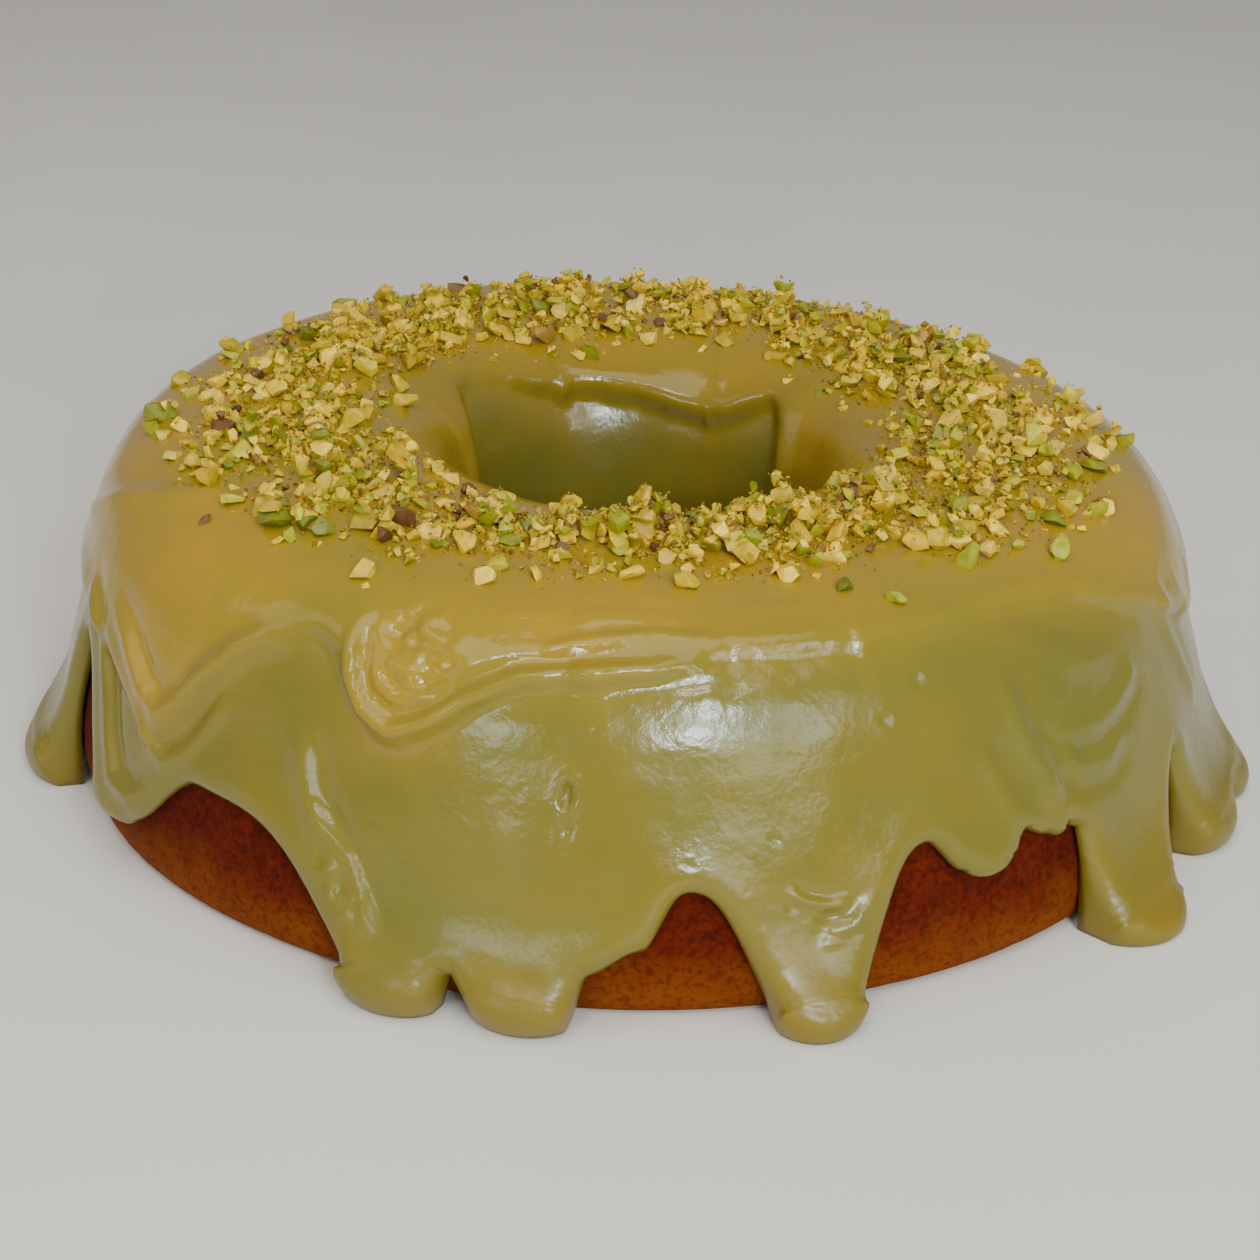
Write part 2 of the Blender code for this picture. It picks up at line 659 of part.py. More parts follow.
def nut_places(glaze):
    """Where the nuts lie, largest first, spread evenly over their ring."""
    rng = np.random.default_rng(NUT_SEED)
    lengths = np.sort(rng.triangular(NUT_LENGTHS[0], NUT_LENGTHS[0] + 0.8, NUT_LENGTHS[1],
                                     NUT_COUNT))[::-1]
    taken = []
    for length in lengths:
        best = None
        for _try in range(14):
            angle = rng.uniform(-90.0, 270.0)
            low, high = nut_ring(angle)
            share = 0.5 + 0.5 * (rng.uniform(-1.0, 1.0) + rng.uniform(-1.0, 1.0)) * 0.72
            radius = low + (high - low) * min(max(share, 0.0), 1.0)
            x = radius * math.sin(math.radians(angle))
            y = -radius * math.cos(math.radians(angle))
            space = min([math.hypot(x - p[0], y - p[1]) - 0.5 * (length + p[2]) * 0.8
                         for p in taken], default=50.0)
            if best is None or space > best[0]:
                best = (space, x, y, angle, radius)
        taken.append((best[1], best[2], length, best[3], best[4]))
    return taken


def nut_mesh(index, length):
    """A broken piece of nut: the hull of points on an uneven ellipsoid."""
    rng = np.random.default_rng(NUT_SEED * 1000 + index)
    points = rng.normal(size=(NUT_POINTS, 3))
    points /= np.linalg.norm(points, axis=1)[:, None]
    points = np.sign(points) * np.abs(points) ** 0.75
    half = 0.5 * length * np.array([1.0, rng.uniform(0.62, 0.85), rng.uniform(0.45, 0.68)])
    points = points * half / np.abs(points).max(axis=0)
    turn = rng.uniform(0.0, 2.0 * math.pi)
    tip = rng.normal(0.0, 0.28)
    roll = rng.normal(0.0, 0.28)
    ct, st = math.cos(turn), math.sin(turn)
    ca, sa = math.cos(tip), math.sin(tip)
    cb, sb = math.cos(roll), math.sin(roll)
    rot = (np.array([[ct, -st, 0.0], [st, ct, 0.0], [0.0, 0.0, 1.0]])
           @ np.array([[ca, 0.0, sa], [0.0, 1.0, 0.0], [-sa, 0.0, ca]])
           @ np.array([[1.0, 0.0, 0.0], [0.0, cb, -sb], [0.0, sb, cb]]))
    points = points @ rot.T
    bm = bmesh.new()
    for point in points:
        bm.verts.new(point)
    hull = bmesh.ops.convex_hull(bm, input=bm.verts)
    loose = [v for v in bm.verts if not v.link_faces]
    bmesh.ops.delete(bm, geom=loose, context="VERTS")
    bmesh.ops.triangulate(bm, faces=bm.faces)
    bmesh.ops.recalc_face_normals(bm, faces=bm.faces)
    del hull
    return bm


def add_object(name, points, faces, mat, sharp):
    mesh = bpy.data.meshes.new(name)
    mesh.from_pydata([tuple(p) for p in np.asarray(points) * MM], [], faces)
    mesh.materials.append(mat)
    mesh.shade_smooth()
    mesh.set_sharp_from_angle(angle=math.radians(sharp))
    obj = bpy.data.objects.new(name, mesh)
    bpy.context.scene.collection.objects.link(obj)
    return obj


def keep_largest(mesh):
    """Drop loose scraps and the walls of sealed hollows that the union leaves."""
    bm = bmesh.new()
    bm.from_mesh(mesh)
    left = set(bm.verts)
    groups = []
    while left:
        start = left.pop()
        group = [start]
        for vert in group:
            for edge in vert.link_edges:
                other = edge.other_vert(vert)
                if other in left:
                    left.discard(other)
                    group.append(other)
        groups.append(group)
    groups.sort(key=len)
    loose = [vert for group in groups[:-1] for vert in group]
    bmesh.ops.delete(bm, geom=loose, context="VERTS")
    bm.to_mesh(mesh)
    bm.free()


def add_nuts(glaze, shell, mat):
    """Fuse the nuts to the glaze with one Boolean union on their collection."""
    nuts = bpy.data.collections.new("nuts")
    bpy.context.scene.collection.children.link(nuts)
    for index, (x, y, length, angle, radius) in enumerate(nut_places(glaze)):
        s = glaze.line.top_s(radius)
        depth = glaze.depth(np.array([angle]), np.array([s]), np.array([60.0]), np.array([60.0]))
        spot = glaze.skin(np.array([angle]), np.array([s]), depth)[0]
        bm = nut_mesh(index, length)
        low = min(v.co.z for v in bm.verts)
        high = max(v.co.z for v in bm.verts)
        sunk = min(max(NUT_SUNK * (high - low), 1.0), 1.6)
        for v in bm.verts:
            v.co.x = (v.co.x + spot[0]) * MM
            v.co.y = (v.co.y + spot[1]) * MM
            v.co.z = (v.co.z - low - sunk + spot[2]) * MM
        mesh = bpy.data.meshes.new("nut_%03d" % index)
        bm.to_mesh(mesh)
        bm.free()
        nuts.objects.link(bpy.data.objects.new("nut_%03d" % index, mesh))
    union = shell.modifiers.new("nuts", "BOOLEAN")
    union.operation = "UNION"
    union.solver = "MANIFOLD"
    union.operand_type = "COLLECTION"
    union.collection = nuts
    bpy.context.view_layer.update()
    graph = bpy.context.evaluated_depsgraph_get()
    joined = bpy.data.meshes.new_from_object(shell.evaluated_get(graph))
    shell.modifiers.remove(union)
    old = shell.data
    shell.data = joined
    joined.name = old.name + "_mesh"
    bpy.data.meshes.remove(old)
    for obj in list(nuts.objects):
        bpy.data.objects.remove(obj, do_unlink=True)
    bpy.data.collections.remove(nuts)
    keep_largest(shell.data)
    shell.data.materials.clear()
    shell.data.materials.append(mat)
    shell.data.set_sharp_from_angle(angle=math.radians(40.0))


def set_origin(objects):
    """Stand the origin under the middle of the outline."""
    points = np.array([v.co[:] for obj in objects for v in obj.data.vertices])
    middle = 0.5 * (points.min(axis=0) + points.max(axis=0))
    for obj in objects:
        obj.location = (-middle[0], -middle[1], 0.0)


def main():
    clear_scene()
    crust = material("crust", (0.19, 0.036, 0.005), 0.85)
    icing = material("glaze", (0.285, 0.215, 0.042), 0.22)
    points, faces = cake_mesh()
    cake = add_object("cake", points, faces, crust, 40.0)
    glaze = Glaze()
    points, faces = glaze_mesh(glaze)
    shell = add_object("glaze", points, faces, icing, 50.0)
    add_nuts(glaze, shell, icing)
    set_origin([cake, shell])


main()
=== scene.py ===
"""Looks of the pistachio ring cake: crust, poured glaze with its folds, and chopped nuts.

The CAD model is the fixed frame. The glaze and the crust are made again here as fine meshes of
the same form, with the same named sizes as the CAD source, and get the small folds, bubbles and
pores that are finer than its triangles. The nuts of the CAD model stand in the same places and
get their colours, and the crumbs between them are added.
Sizes are in millimetres and angles in degrees round the cake, from the front towards +X.
"""
import math

import bmesh
import bpy
import numpy as np
from mathutils import Matrix, Vector, noise
from mathutils.geometry import delaunay_2d_cdt
from mathutils.kdtree import KDTree


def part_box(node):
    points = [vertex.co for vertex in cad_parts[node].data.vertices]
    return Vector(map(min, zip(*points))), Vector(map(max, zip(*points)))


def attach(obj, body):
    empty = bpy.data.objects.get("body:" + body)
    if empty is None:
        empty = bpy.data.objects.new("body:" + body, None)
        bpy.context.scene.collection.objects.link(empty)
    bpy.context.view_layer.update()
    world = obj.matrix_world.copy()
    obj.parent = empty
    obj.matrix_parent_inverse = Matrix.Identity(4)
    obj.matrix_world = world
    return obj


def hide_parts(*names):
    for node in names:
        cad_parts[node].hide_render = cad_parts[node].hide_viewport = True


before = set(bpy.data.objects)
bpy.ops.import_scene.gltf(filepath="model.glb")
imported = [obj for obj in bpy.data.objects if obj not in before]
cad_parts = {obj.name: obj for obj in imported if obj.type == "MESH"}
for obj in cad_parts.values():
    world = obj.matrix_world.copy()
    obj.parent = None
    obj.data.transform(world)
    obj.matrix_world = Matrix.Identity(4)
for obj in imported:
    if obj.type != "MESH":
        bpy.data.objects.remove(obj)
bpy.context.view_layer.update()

MM = 0.001

# Form of the cake and the glaze, as in the CAD source

CAKE_SECTION = (
    (40.5, 0.0), (40.6, 14.0), (40.9, 30.0), (41.8, 46.0), (43.8, 57.0),
    (47.2, 64.4), (52.5, 68.8), (60.0, 70.4), (75.0, 70.9), (90.0, 70.6),
    (97.0, 69.2), (102.6, 66.0), (106.6, 61.8), (109.4, 56.0), (111.6, 48.0),
    (114.0, 39.0), (116.5, 30.0), (118.6, 22.0), (119.9, 14.0), (120.0, 8.0),
    (119.2, 4.0), (117.9, 1.4), (116.0, 0.0),
)
CAKE_SEGMENTS = 56
LEAN_X = -0.00040
LEAN_Y = 0.00050
SIDE_WAVES = ((3, 0.45, 20.0), (5, 0.30, 75.0), (8, 0.18, 140.0))
GAP = 0.42
PLATE_RADIUS = 120.6
CORNER_START = 11.0
FLOOR_REACH = 50.0

# Lower edge of the glaze, drip by drip: angle of the tip, half its width, height of the tip,
# then angle and height of the next arch, and how long the edge hangs back before and after.
# A tip height below zero is a foot, and is how far it runs out beside the base.
DRIPS = (
    (-80.0, 6.0, -11.0, -70.4, 36.5, 1.2, 1.3),
    (-55.6, 3.6, 10.4, -43.0, 27.8, 1.7, 1.15),
    (-20.3, 4.1, -8.0, -15.0, 7.2, 2.9, 0.8),
    (-8.9, 3.9, -7.2, -3.7, 10.4, 0.8, 0.85),
    (0.9, 0.1, 16.0, 4.5, 27.0, 0.9, 1.3),
    (15.2, 3.6, -10.5, 26.0, 31.2, 1.75, 1.7),
    (32.2, 2.7, 21.7, 36.2, 28.6, 0.9, 0.8),
    (40.6, 1.2, 24.6, 43.4, 24.2, 0.8, 1.0),
    (49.3, 5.0, -15.3, 61.3, 25.9, 1.2, 1.1),
    (68.0, 4.8, -11.0, 73.4, -6.2, 0.8, 1.0),
    (79.2, 5.0, -12.5, 96.5, 27.5, 1.0, 1.3),
)
BACK_FIRST = 109.0
BACK_SPACING = 22.8
BACK_COUNT = 7
BACK_LOBE_HEIGHT = 12.5
BACK_FOOT_REACH = 9.8
BACK_ARCH_HEIGHT = 26.0

# Lower edge of the second, upper pour on the side and in the hole, in the same terms
UPPER_DRIPS = (
    (-86.0, 3.0, 41.0, -72.0, 42.5, 1.0, 1.0),
    (-50.0, 0.8, 30.8, -30.7, 61.7, 2.2, 1.45),
    (-21.4, 2.6, 47.6, -9.0, 61.0, 1.3, 1.3),
    (-4.0, 2.0, 60.9, 11.0, 65.7, 1.0, 1.0),
    (22.0, 1.0, 64.7, 40.0, 66.0, 1.0, 1.0),
    (74.0, 4.0, 45.0, 104.0, 60.0, 1.4, 1.2),
    (129.0, 3.0, 46.0, 156.0, 62.0, 1.2, 1.6),
    (188.0, 2.5, 44.0, 216.0, 63.0, 1.7, 1.2),
    (243.0, 4.0, 49.0, 261.0, 56.0, 1.0, 1.0),
)
HOLE_UPPER_DRIPS = (
    (-101.0, 4.0, 14.0, -40.0, 22.0, 2.4, 1.0),
    (20.0, 8.0, 15.0, 70.0, 21.0, 1.0, 1.0),
    (118.0, 4.0, 14.0, 138.5, 63.5, 1.0, 1.6),
    (157.0, 1.5, 56.4, 184.0, 60.8, 0.8, 0.7),
    (205.0, 2.0, 60.4, 232.0, 67.0, 1.0, 1.0),
)
HOLE_EDGE_HEIGHT = 5.6
HOLE_EDGE_WAVES = ((3, 1.3, 30.0), (5, 1.0, 80.0), (8, 0.6, 200.0))

# Roundness of the edge: powers of the S curves at an arch and at a foot, and the height at the
# shoulders of a tip, as a share of a foot's reach or per degree of a lobe's half width
ARCH_END = 1.4
FOOT_END = 0.75
FOOT_SHOULDER = 0.5
LOBE_SHOULDER = 0.9

# Depth of the glaze
HOLE_DEPTH = 1.5
TOP_DEPTH = 1.5
SIDE_DEPTHS = ((68, 1.5), (60, 2.0), (48, 2.9), (36, 3.3), (24, 3.2), (12, 3.1), (0, 3.2))
UPPER_DEPTH_TOP = 1.2
UPPER_DEPTH_SIDE = 1.9
UPPER_DEPTH_HOLE = 3.0
UPPER_ROUND = 3.2
LIP_DEPTH = 4.2
LIP_WIDTH = 6.5
LIP_ROUND = 3.8
LIP_START = 0.22
LIP_UNDERCUT = 0.6
FOOT_DEPTH = 3.9
FOOT_WIDTH_UP = 17.0
FOOT_WIDTH_OUT = 10.0
FOOT_ROUND = 7.4
FOOT_FILLET = 11.0
FOOT_FULL = 4.5

# The nuts of the CAD model, drawn with the same seed
NUT_COUNT = 124
NUT_SEED = 41
NUT_LENGTHS = (4.2, 8.0)
NUT_SUNK = 0.30
NUT_POINTS = 12
NUT_RING_INNER = 55.4
NUT_RING_OUTER = 95.0
NUT_RING_WAVES = ((3, 2.2, 150.0), (5, 1.6, 20.0))

# Spacing of the points of the fine glaze, in front of and behind this angle
FRONT = 100.0
RIM_STEP = 1.0
HOLE_RIM_STEP = 2.2
RIM_LINES = (0.18, 0.5, 1.0, 1.7, 2.6, 3.7)
HOLE_RIM_LINES = (0.5, 1.2, 2.2)
SIDE_STEP_FRONT = 0.95
SIDE_STEP_BACK = 1.6
TOP_STEP = 2.0
HOLE_STEP = 1.3
# Where the shoulder starts, and how far out the foot rows go, along the glaze
SHOULDER_START = 24.0
FOOT_ROWS = 14.0
# Rounds of smoothing of the depth at the feet
FOOT_SMOOTHING = 16.0
# Distance from the edge of the upper pour over which its tone comes in. That tone is partly the
# pour's own colour and partly painted light, lighter and warmer as on the lit top, against the
# painted shade of the lower pour on the side
TONE_START = -9.0
TONE_END = 12.0


def smoothstep(low, high, value):
    t = np.clip((value - low) / (high - low), 0.0, 1.0)
    return t * t * (3.0 - 2.0 * t)


def quarter_round(t):
    t = np.clip(t, 0.0, 1.0)
    return np.sqrt(np.maximum(0.0, 1.0 - (1.0 - t) ** 2))


def smooth_path(points, step):
    """Even points along a smooth curve through the given ones."""
    pts = np.array(points, float)
    run = np.concatenate(([0.0], np.cumsum(np.hypot(*np.diff(pts, axis=0).T))))
    tangents = np.gradient(pts, run, axis=0)
    t = np.linspace(0.0, run[-1], int(run[-1] / step) + 1)
    i = np.clip(np.searchsorted(run, t, side="right") - 1, 0, len(run) - 2)
    h = (run[i + 1] - run[i])[:, None]
    u = ((t - run[i])[:, None]) / h
    return ((2 * u ** 3 - 3 * u ** 2 + 1) * pts[i] + (u ** 3 - 2 * u ** 2 + u) * h * tangents[i]
            + (3 * u ** 2 - 2 * u ** 3) * pts[i + 1] + (u ** 3 - u ** 2) * h * tangents[i + 1])


def back_drips():
    """The drips of the back: lobes and feet in turn, no two the same."""
    rows = []
    for k in range(BACK_COUNT):
        tip = BACK_FIRST + BACK_SPACING * k + 2.6 * math.sin(2.1 * k)
        arch = tip + BACK_SPACING * (0.56 if k % 2 == 0 else 0.46)
        arch_height = BACK_ARCH_HEIGHT + 3.0 * math.sin(1.7 * k + 0.5)
        if k % 2 == 0:
            height = BACK_LOBE_HEIGHT + 3.0 * math.sin(2.3 * k)
            rows.append((tip, 1.6, height, arch, arch_height, 1.0, 1.1))
        else:
            reach = BACK_FOOT_REACH + 1.2 * math.sin(1.3 * k)
            rows.append((tip, 3.2, -reach, arch, arch_height, 1.4, 1.3))
    return tuple(rows)


def drip_edge(drips, angles):
    """Height of an edge round the ring: round tips, joined by S curves to the arches."""
    rows = sorted(drips)
    q = (np.asarray(angles, float) - rows[0][0]) % 360.0 + rows[0][0]
    height = np.zeros_like(q)
    for k, row in enumerate(rows):
        arch, high = row[3], row[4]
        following = rows[(k + 1) % len(rows)]
        next_tip = following[0] + (360.0 if k + 1 == len(rows) else 0.0)
        sides = ((row, row[0], row[6], 1.0, (q >= row[0]) & (q <= arch)),
                 (following, next_tip, following[5], -1.0, (q > arch) & (q <= next_tip)))
        for (_tip, half, low, _arch, _high, _before, _after), tip, hang, side, here in sides:
            foot = low < 0.0
            shoulder = FOOT_SHOULDER * low if foot else low + LOBE_SHOULDER * half
            u = np.clip((arch - q) / (arch - tip - side * half), 0.0, 1.0)
            fall = high + (shoulder - high) * s_curve(u, hang, FOOT_END if foot else ARCH_END)
            off = np.clip(np.abs(q - tip) / half, 0.0, 1.0)
            cap = low + (shoulder - low) * 2.0 * (1.0 - np.sqrt(1.0 - 0.75 * off ** 2))
            height = np.where(here, np.where(off < 1.0, cap, fall), height)
    return height


def s_curve(u, hang, end):
    """From 0 to 1. A larger hang keeps it near 0 for longer and makes the fall steeper."""
    up = np.power(u, ARCH_END * hang)
    down = np.power(1.0 - u, end / hang)
    return up / (up + down)


def waves(angles, table):
    total = 0.0
    for count, size, turn in table:
        total = total + size * np.sin(np.radians(count * np.asarray(angles, float) + turn))
    return total


def outer_edge(angles):
    return drip_edge(DRIPS + back_drips(), angles)


def hole_edge(angles):
    return HOLE_EDGE_HEIGHT + waves(angles, HOLE_EDGE_WAVES)


def upper_edge(angles):
    return drip_edge(UPPER_DRIPS, angles)


def hole_upper_edge(angles):
    return drip_edge(HOLE_UPPER_DRIPS, angles)


def side_wave(angles, heights):
    """Small outward or inward swing of the side, which fades on the top."""
    total = 0.0
    for count, size, turn in SIDE_WAVES:
        total = total + size * np.sin(np.radians(count * angles + turn) + heights / 40.0)
    return total


def place(angles, radii, heights, wave):
    """Points in space from ring angle, radius and height."""
    a = np.radians(angles)
    r = radii + wave
    x = r * np.sin(a)
    y = -r * np.cos(a)
    z = heights * (1.0 + LEAN_X * x + LEAN_Y * y)
    return np.stack([x, y, z], axis=1)


class Carrier:
    """The line that the glaze lies on: up the hole, over the top, down and out on the floor."""

    def __init__(self):
        cake = smooth_path(CAKE_SECTION, 0.25)
        t = np.gradient(cake, axis=0)
        t = t / np.hypot(t[:, 0], t[:, 1])[:, None]
        skin = cake + GAP * np.stack([-t[:, 1], t[:, 0]], axis=1)
        outer = np.arange(len(skin)) > len(skin) // 2
        skin = skin[~(outer & (skin[:, 1] < CORNER_START))]
        skin[0, 1] = 0.0
        down = np.linspace(skin[-1, 1], 0.0, 45)[1:]
        blend = smoothstep(CORNER_START, 2.0, down)
        wall = np.stack([skin[-1, 0] + (PLATE_RADIUS - skin[-1, 0]) * blend, down], axis=1)
        out = np.linspace(PLATE_RADIUS, PLATE_RADIUS + FLOOR_REACH, 201)[1:]
        floor = np.stack([out, np.zeros_like(out)], axis=1)
        self.path = np.concatenate((skin, wall, floor))
        self.s = np.concatenate(([0.0], np.cumsum(np.hypot(*np.diff(self.path, axis=0).T))))
        self.corner = self.s[len(skin) + len(wall) - 1]
        self.top = self.s[int(np.argmin(np.abs(self.path[:len(skin), 0] - 75.0)))]
        radius = np.maximum(self.path[:, 0], 1.0)
        steps = np.diff(self.s) * 0.5 * (1.0 / radius[1:] + 1.0 / radius[:-1])
        self.map_radius = 5.0 * np.exp(np.concatenate(([0.0], np.cumsum(steps))))
        self.normal = self._directions()

    def _directions(self):
        even = np.arange(0.0, self.s[-1], 0.25)
        r = np.interp(even, self.s, self.path[:, 0])
        z = np.interp(even, self.s, self.path[:, 1])
        t = np.stack([np.gradient(r), np.gradient(z)], axis=1)
        t = t / np.hypot(t[:, 0], t[:, 1])[:, None]
        near = self._blurred(t, 2.5)
        wide = self._blurred(t, 13.0)
        mix = (1.0 - smoothstep(20.0, 38.0, np.abs(even - self.corner)))[:, None]
        t = near * (1.0 - mix) + wide * mix
        t = t / np.hypot(t[:, 0], t[:, 1])[:, None]
        self.even = even
        path = np.stack([r, z], axis=1)
        self.fillet = (self._blurred(path, FOOT_FILLET) - path) * mix
        return np.stack([-t[:, 1], t[:, 0]], axis=1)

    @staticmethod
    def _blurred(values, width):
        reach = int(width * 3 / 0.25)
        kernel = np.exp(-0.5 * (np.arange(-reach, reach + 1) * 0.25 / width) ** 2)
        kernel /= kernel.sum()
        padded = np.pad(values, ((reach, reach), (0, 0)), mode="edge")
        return np.stack([np.convolve(padded[:, k], kernel, mode="valid") for k in (0, 1)], axis=1)

    def at(self, s):
        return np.interp(s, self.s, self.path[:, 0]), np.interp(s, self.s, self.path[:, 1])

    def direction(self, s):
        return (np.interp(s, self.even, self.normal[:, 0]),
                np.interp(s, self.even, self.normal[:, 1]))

    def corner_fillet(self, s):
        """How far the corner between side and floor is filled under a foot."""
        return (np.interp(s, self.even, self.fillet[:, 0]),
                np.interp(s, self.even, self.fillet[:, 1]))

    def plane(self, angles, s):
        rho = np.interp(s, self.s, self.map_radius)
        a = np.radians(angles)
        return np.stack([rho * np.sin(a), -rho * np.cos(a)], axis=1)

    def outer_s(self, heights):
        part = (self.s >= self.top) & (self.s <= self.corner)
        on_side = np.interp(-np.maximum(heights, 0.0), -self.path[part, 1], self.s[part])
        return on_side + np.maximum(-np.asarray(heights, float), 0.0)

    def hole_s(self, heights):
        part = self.s <= self.top
        return np.interp(heights, self.path[part, 1], self.s[part])

    def top_s(self, radii):
        part = (self.s > self.top - 40.0) & (self.s < self.top + 40.0)
        return np.interp(radii, self.path[part, 0], self.s[part])


class Glaze:
    """The poured glaze as a depth over the carrier."""

    def __init__(self):
        self.line = Carrier()
        self.outer_rim = self._rim(outer_edge, self.line.outer_s)
        self.hole_rim = self._rim(hole_edge, self.line.hole_s)
        self.outer_tree = self._tree(self.outer_rim)
        self.hole_tree = self._tree(self.hole_rim)

    @staticmethod
    def _rim(edge, to_s):
        angles = np.arange(0.0, 360.0, 0.04) - 90.0
        return np.stack([angles, to_s(edge(angles))], axis=1)

    def _tree(self, rim):
        radius = float(self.line.at(rim[:, 1].mean())[0])
        tree = KDTree(len(rim) * 3)
        index = 0
        for turn in (-360.0, 0.0, 360.0):
            for angle, s in rim:
                tree.insert((math.radians(angle + turn) * radius, s, 0.0), index)
                index += 1
        tree.balance()
        return tree, radius

    @staticmethod
    def _distance(tree, angles, s):
        kd, radius = tree
        a = (np.asarray(angles) + 90.0) % 360.0 - 90.0
        x = np.radians(a) * radius
        return np.array([kd.find((px, py, 0.0))[2] for px, py in zip(x, s)])

    def rim_distances(self, angles, s):
        return (self._distance(self.outer_tree, angles, s),
                self._distance(self.hole_tree, angles, s))

    def upper_inside(self, angles, s):
        """How far a point is inside the edge of the upper pour."""
        inside = None
        for height, to_s, sign in ((upper_edge, self.line.outer_s, 1.0),
                                   (hole_upper_edge, self.line.hole_s, -1.0)):
            edge = to_s(height(angles))
            side = to_s(height(angles + 0.5))
            run = np.radians(0.5) * self.line.at(edge)[0]
            slope = np.hypot(1.0, (side - edge) / run)
            gap = sign * (edge - s) / slope
            inside = gap if inside is None else np.minimum(inside, gap)
        return inside

    def depth(self, angles, s, outer_gap, hole_gap):
        line = self.line
        r, z = line.at(s)
        heights = [k[0] for k in SIDE_DEPTHS][::-1]
        depths = [k[1] for k in SIDE_DEPTHS][::-1]
        side = np.interp(z, heights, depths)
        base = np.where(s > line.top, side, np.where(z > 60.0, TOP_DEPTH, HOLE_DEPTH))
        width = np.where(s < line.corner, FOOT_WIDTH_UP, FOOT_WIDTH_OUT)
        corner = np.exp(-((s - line.corner) / width) ** 2)
        lip = np.exp(-(outer_gap / LIP_WIDTH) ** 2)
        base = base + (LIP_DEPTH - base) * np.where(s > line.top, lip, 0.0)
        base = base + FOOT_DEPTH * corner
        roundness = LIP_ROUND + (FOOT_ROUND - LIP_ROUND) * corner
        swell = LIP_START + (1.0 - LIP_START) * quarter_round(outer_gap / roundness)
        swell = swell * (LIP_START + (1.0 - LIP_START) * quarter_round(hole_gap / 2.5))
        inside = self.upper_inside(angles, s)
        below = np.where(s > line.top, UPPER_DEPTH_SIDE, UPPER_DEPTH_HOLE)
        upper = UPPER_DEPTH_TOP + (below - UPPER_DEPTH_TOP) * (
            smoothstep(0.0, 14.0, np.abs(s - line.top) - 20.0))
        bead = 1.0 + 0.30 * np.exp(-((inside - 3.0) / 3.0) ** 2)
        return base * swell + upper * bead * quarter_round(inside / UPPER_ROUND)

    def skin(self, angles, s, depth):
        r, z = self.line.at(s)
        nr, nz = self.line.direction(s)
        fr, fz = self.line.corner_fillet(s)
        full = smoothstep(0.0, FOOT_FULL, depth)
        return place(angles, r + nr * depth + fr * full, z + nz * depth + fz * full,
                     side_wave(angles, z))

    def resample(self, rim, step):
        """Even points along a rim, as angle and s."""
        radius = self.line.at(rim[:, 1])[0]
        closed = np.concatenate((rim, rim[:1] + [[360.0, 0.0]]))
        arc = np.radians(np.diff(closed[:, 0])) * radius
        run = np.concatenate(([0.0], np.cumsum(np.hypot(arc, np.diff(closed[:, 1])))))
        count = int(round(run[-1] / step))
        at = np.linspace(0.0, run[-1], count, endpoint=False)
        return np.stack([np.interp(at, run, closed[:, 0]), np.interp(at, run, closed[:, 1])],
                        axis=1)

    def moved_in(self, rim, amount, sign):
        """A rim moved into the glaze. The sign is 1 on the outer rim and -1 in the hole."""
        radius = self.line.at(rim[:, 1])[0]
        ahead = np.roll(rim, -1, axis=0)
        behind = np.roll(rim, 1, axis=0)
        along_a = np.radians((ahead[:, 0] - behind[:, 0]) % 360.0) * radius
        along_s = ahead[:, 1] - behind[:, 1]
        length = np.hypot(along_a, along_s)
        inward_a = sign * along_s / length
        inward_s = -sign * along_a / length
        return np.stack([rim[:, 0] + np.degrees(inward_a * amount / radius),
                         rim[:, 1] + inward_s * amount], axis=1)


def spread_rows(line, low, high, step, first, last):
    """Staggered rows of points between two places on the carrier and two angles."""
    rows = []
    count = max(1, int(round((high - low) / (0.87 * step))))
    for k, s in enumerate(np.linspace(low, high, count + 1)):
        radius = float(line.at(s)[0])
        around = max(12, int(round(math.radians(last - first) * radius / step)))
        angles = first + (np.arange(around) + 0.25 + 0.5 * (k % 2)) * (last - first) / around
        rows.append(np.stack([angles, np.full(around, s)], axis=1))
    return np.concatenate(rows)


def thinned(points, line, least):
    """The points that are left when none is nearer than this to an earlier one."""
    radius = float(line.at(points[:, 1].mean())[0])
    tree = KDTree(len(points))
    for index, (angle, s) in enumerate(points):
        tree.insert((math.radians(angle) * radius, s, 0.0), index)
    tree.balance()
    dropped = np.zeros(len(points), bool)
    for index, (angle, s) in enumerate(points):
        if dropped[index]:
            continue
        for _co, other, _gap in tree.find_range((math.radians(angle) * radius, s, 0.0), least):
            if other > index:
                dropped[other] = True
    return points[~dropped]


def inside_loop(loop, x, y):
    x0, y0 = loop[:, 0], loop[:, 1]
    x1, y1 = np.roll(x0, -1), np.roll(y0, -1)
    crosses = (y0 > y) != (y1 > y)
    span = np.where(y1 == y0, 1.0, y1 - y0)
    at = x0 + (y - y0) * (x1 - x0) / span
    return bool(np.count_nonzero(crosses & (at > x)) % 2)


def triangles(glaze, rims, inner_points):
    """Delaunay triangles between the rims. Points are numbered rims first."""
    points = np.concatenate(list(rims) + [inner_points])
    plane = glaze.line.plane(points[:, 0], points[:, 1])
    edges = []
    loops = []
    start = 0
    for rim in rims:
        count = len(rim)
        loops.append((start, count))
        edges += [(start + k, start + (k + 1) % count) for k in range(count)]
        start += count
    verts, _edges, faces, original, _e, _f = delaunay_2d_cdt(
        [tuple(p) for p in plane], edges, [], 0, 1e-7)
    number = [ids[0] for ids in original]
    outer = plane[loops[0][0]:loops[0][0] + loops[0][1]]
    hole = plane[loops[1][0]:loops[1][0] + loops[1][1]]
    result = []
    for face in faces:
        tri = [number[k] for k in face]
        if max(tri) < start:
            x, y = plane[tri].mean(axis=0)
            if not inside_loop(outer, x, y) or inside_loop(hole, x, y):
                continue
        result.append(tri)
    return points, np.array(result)


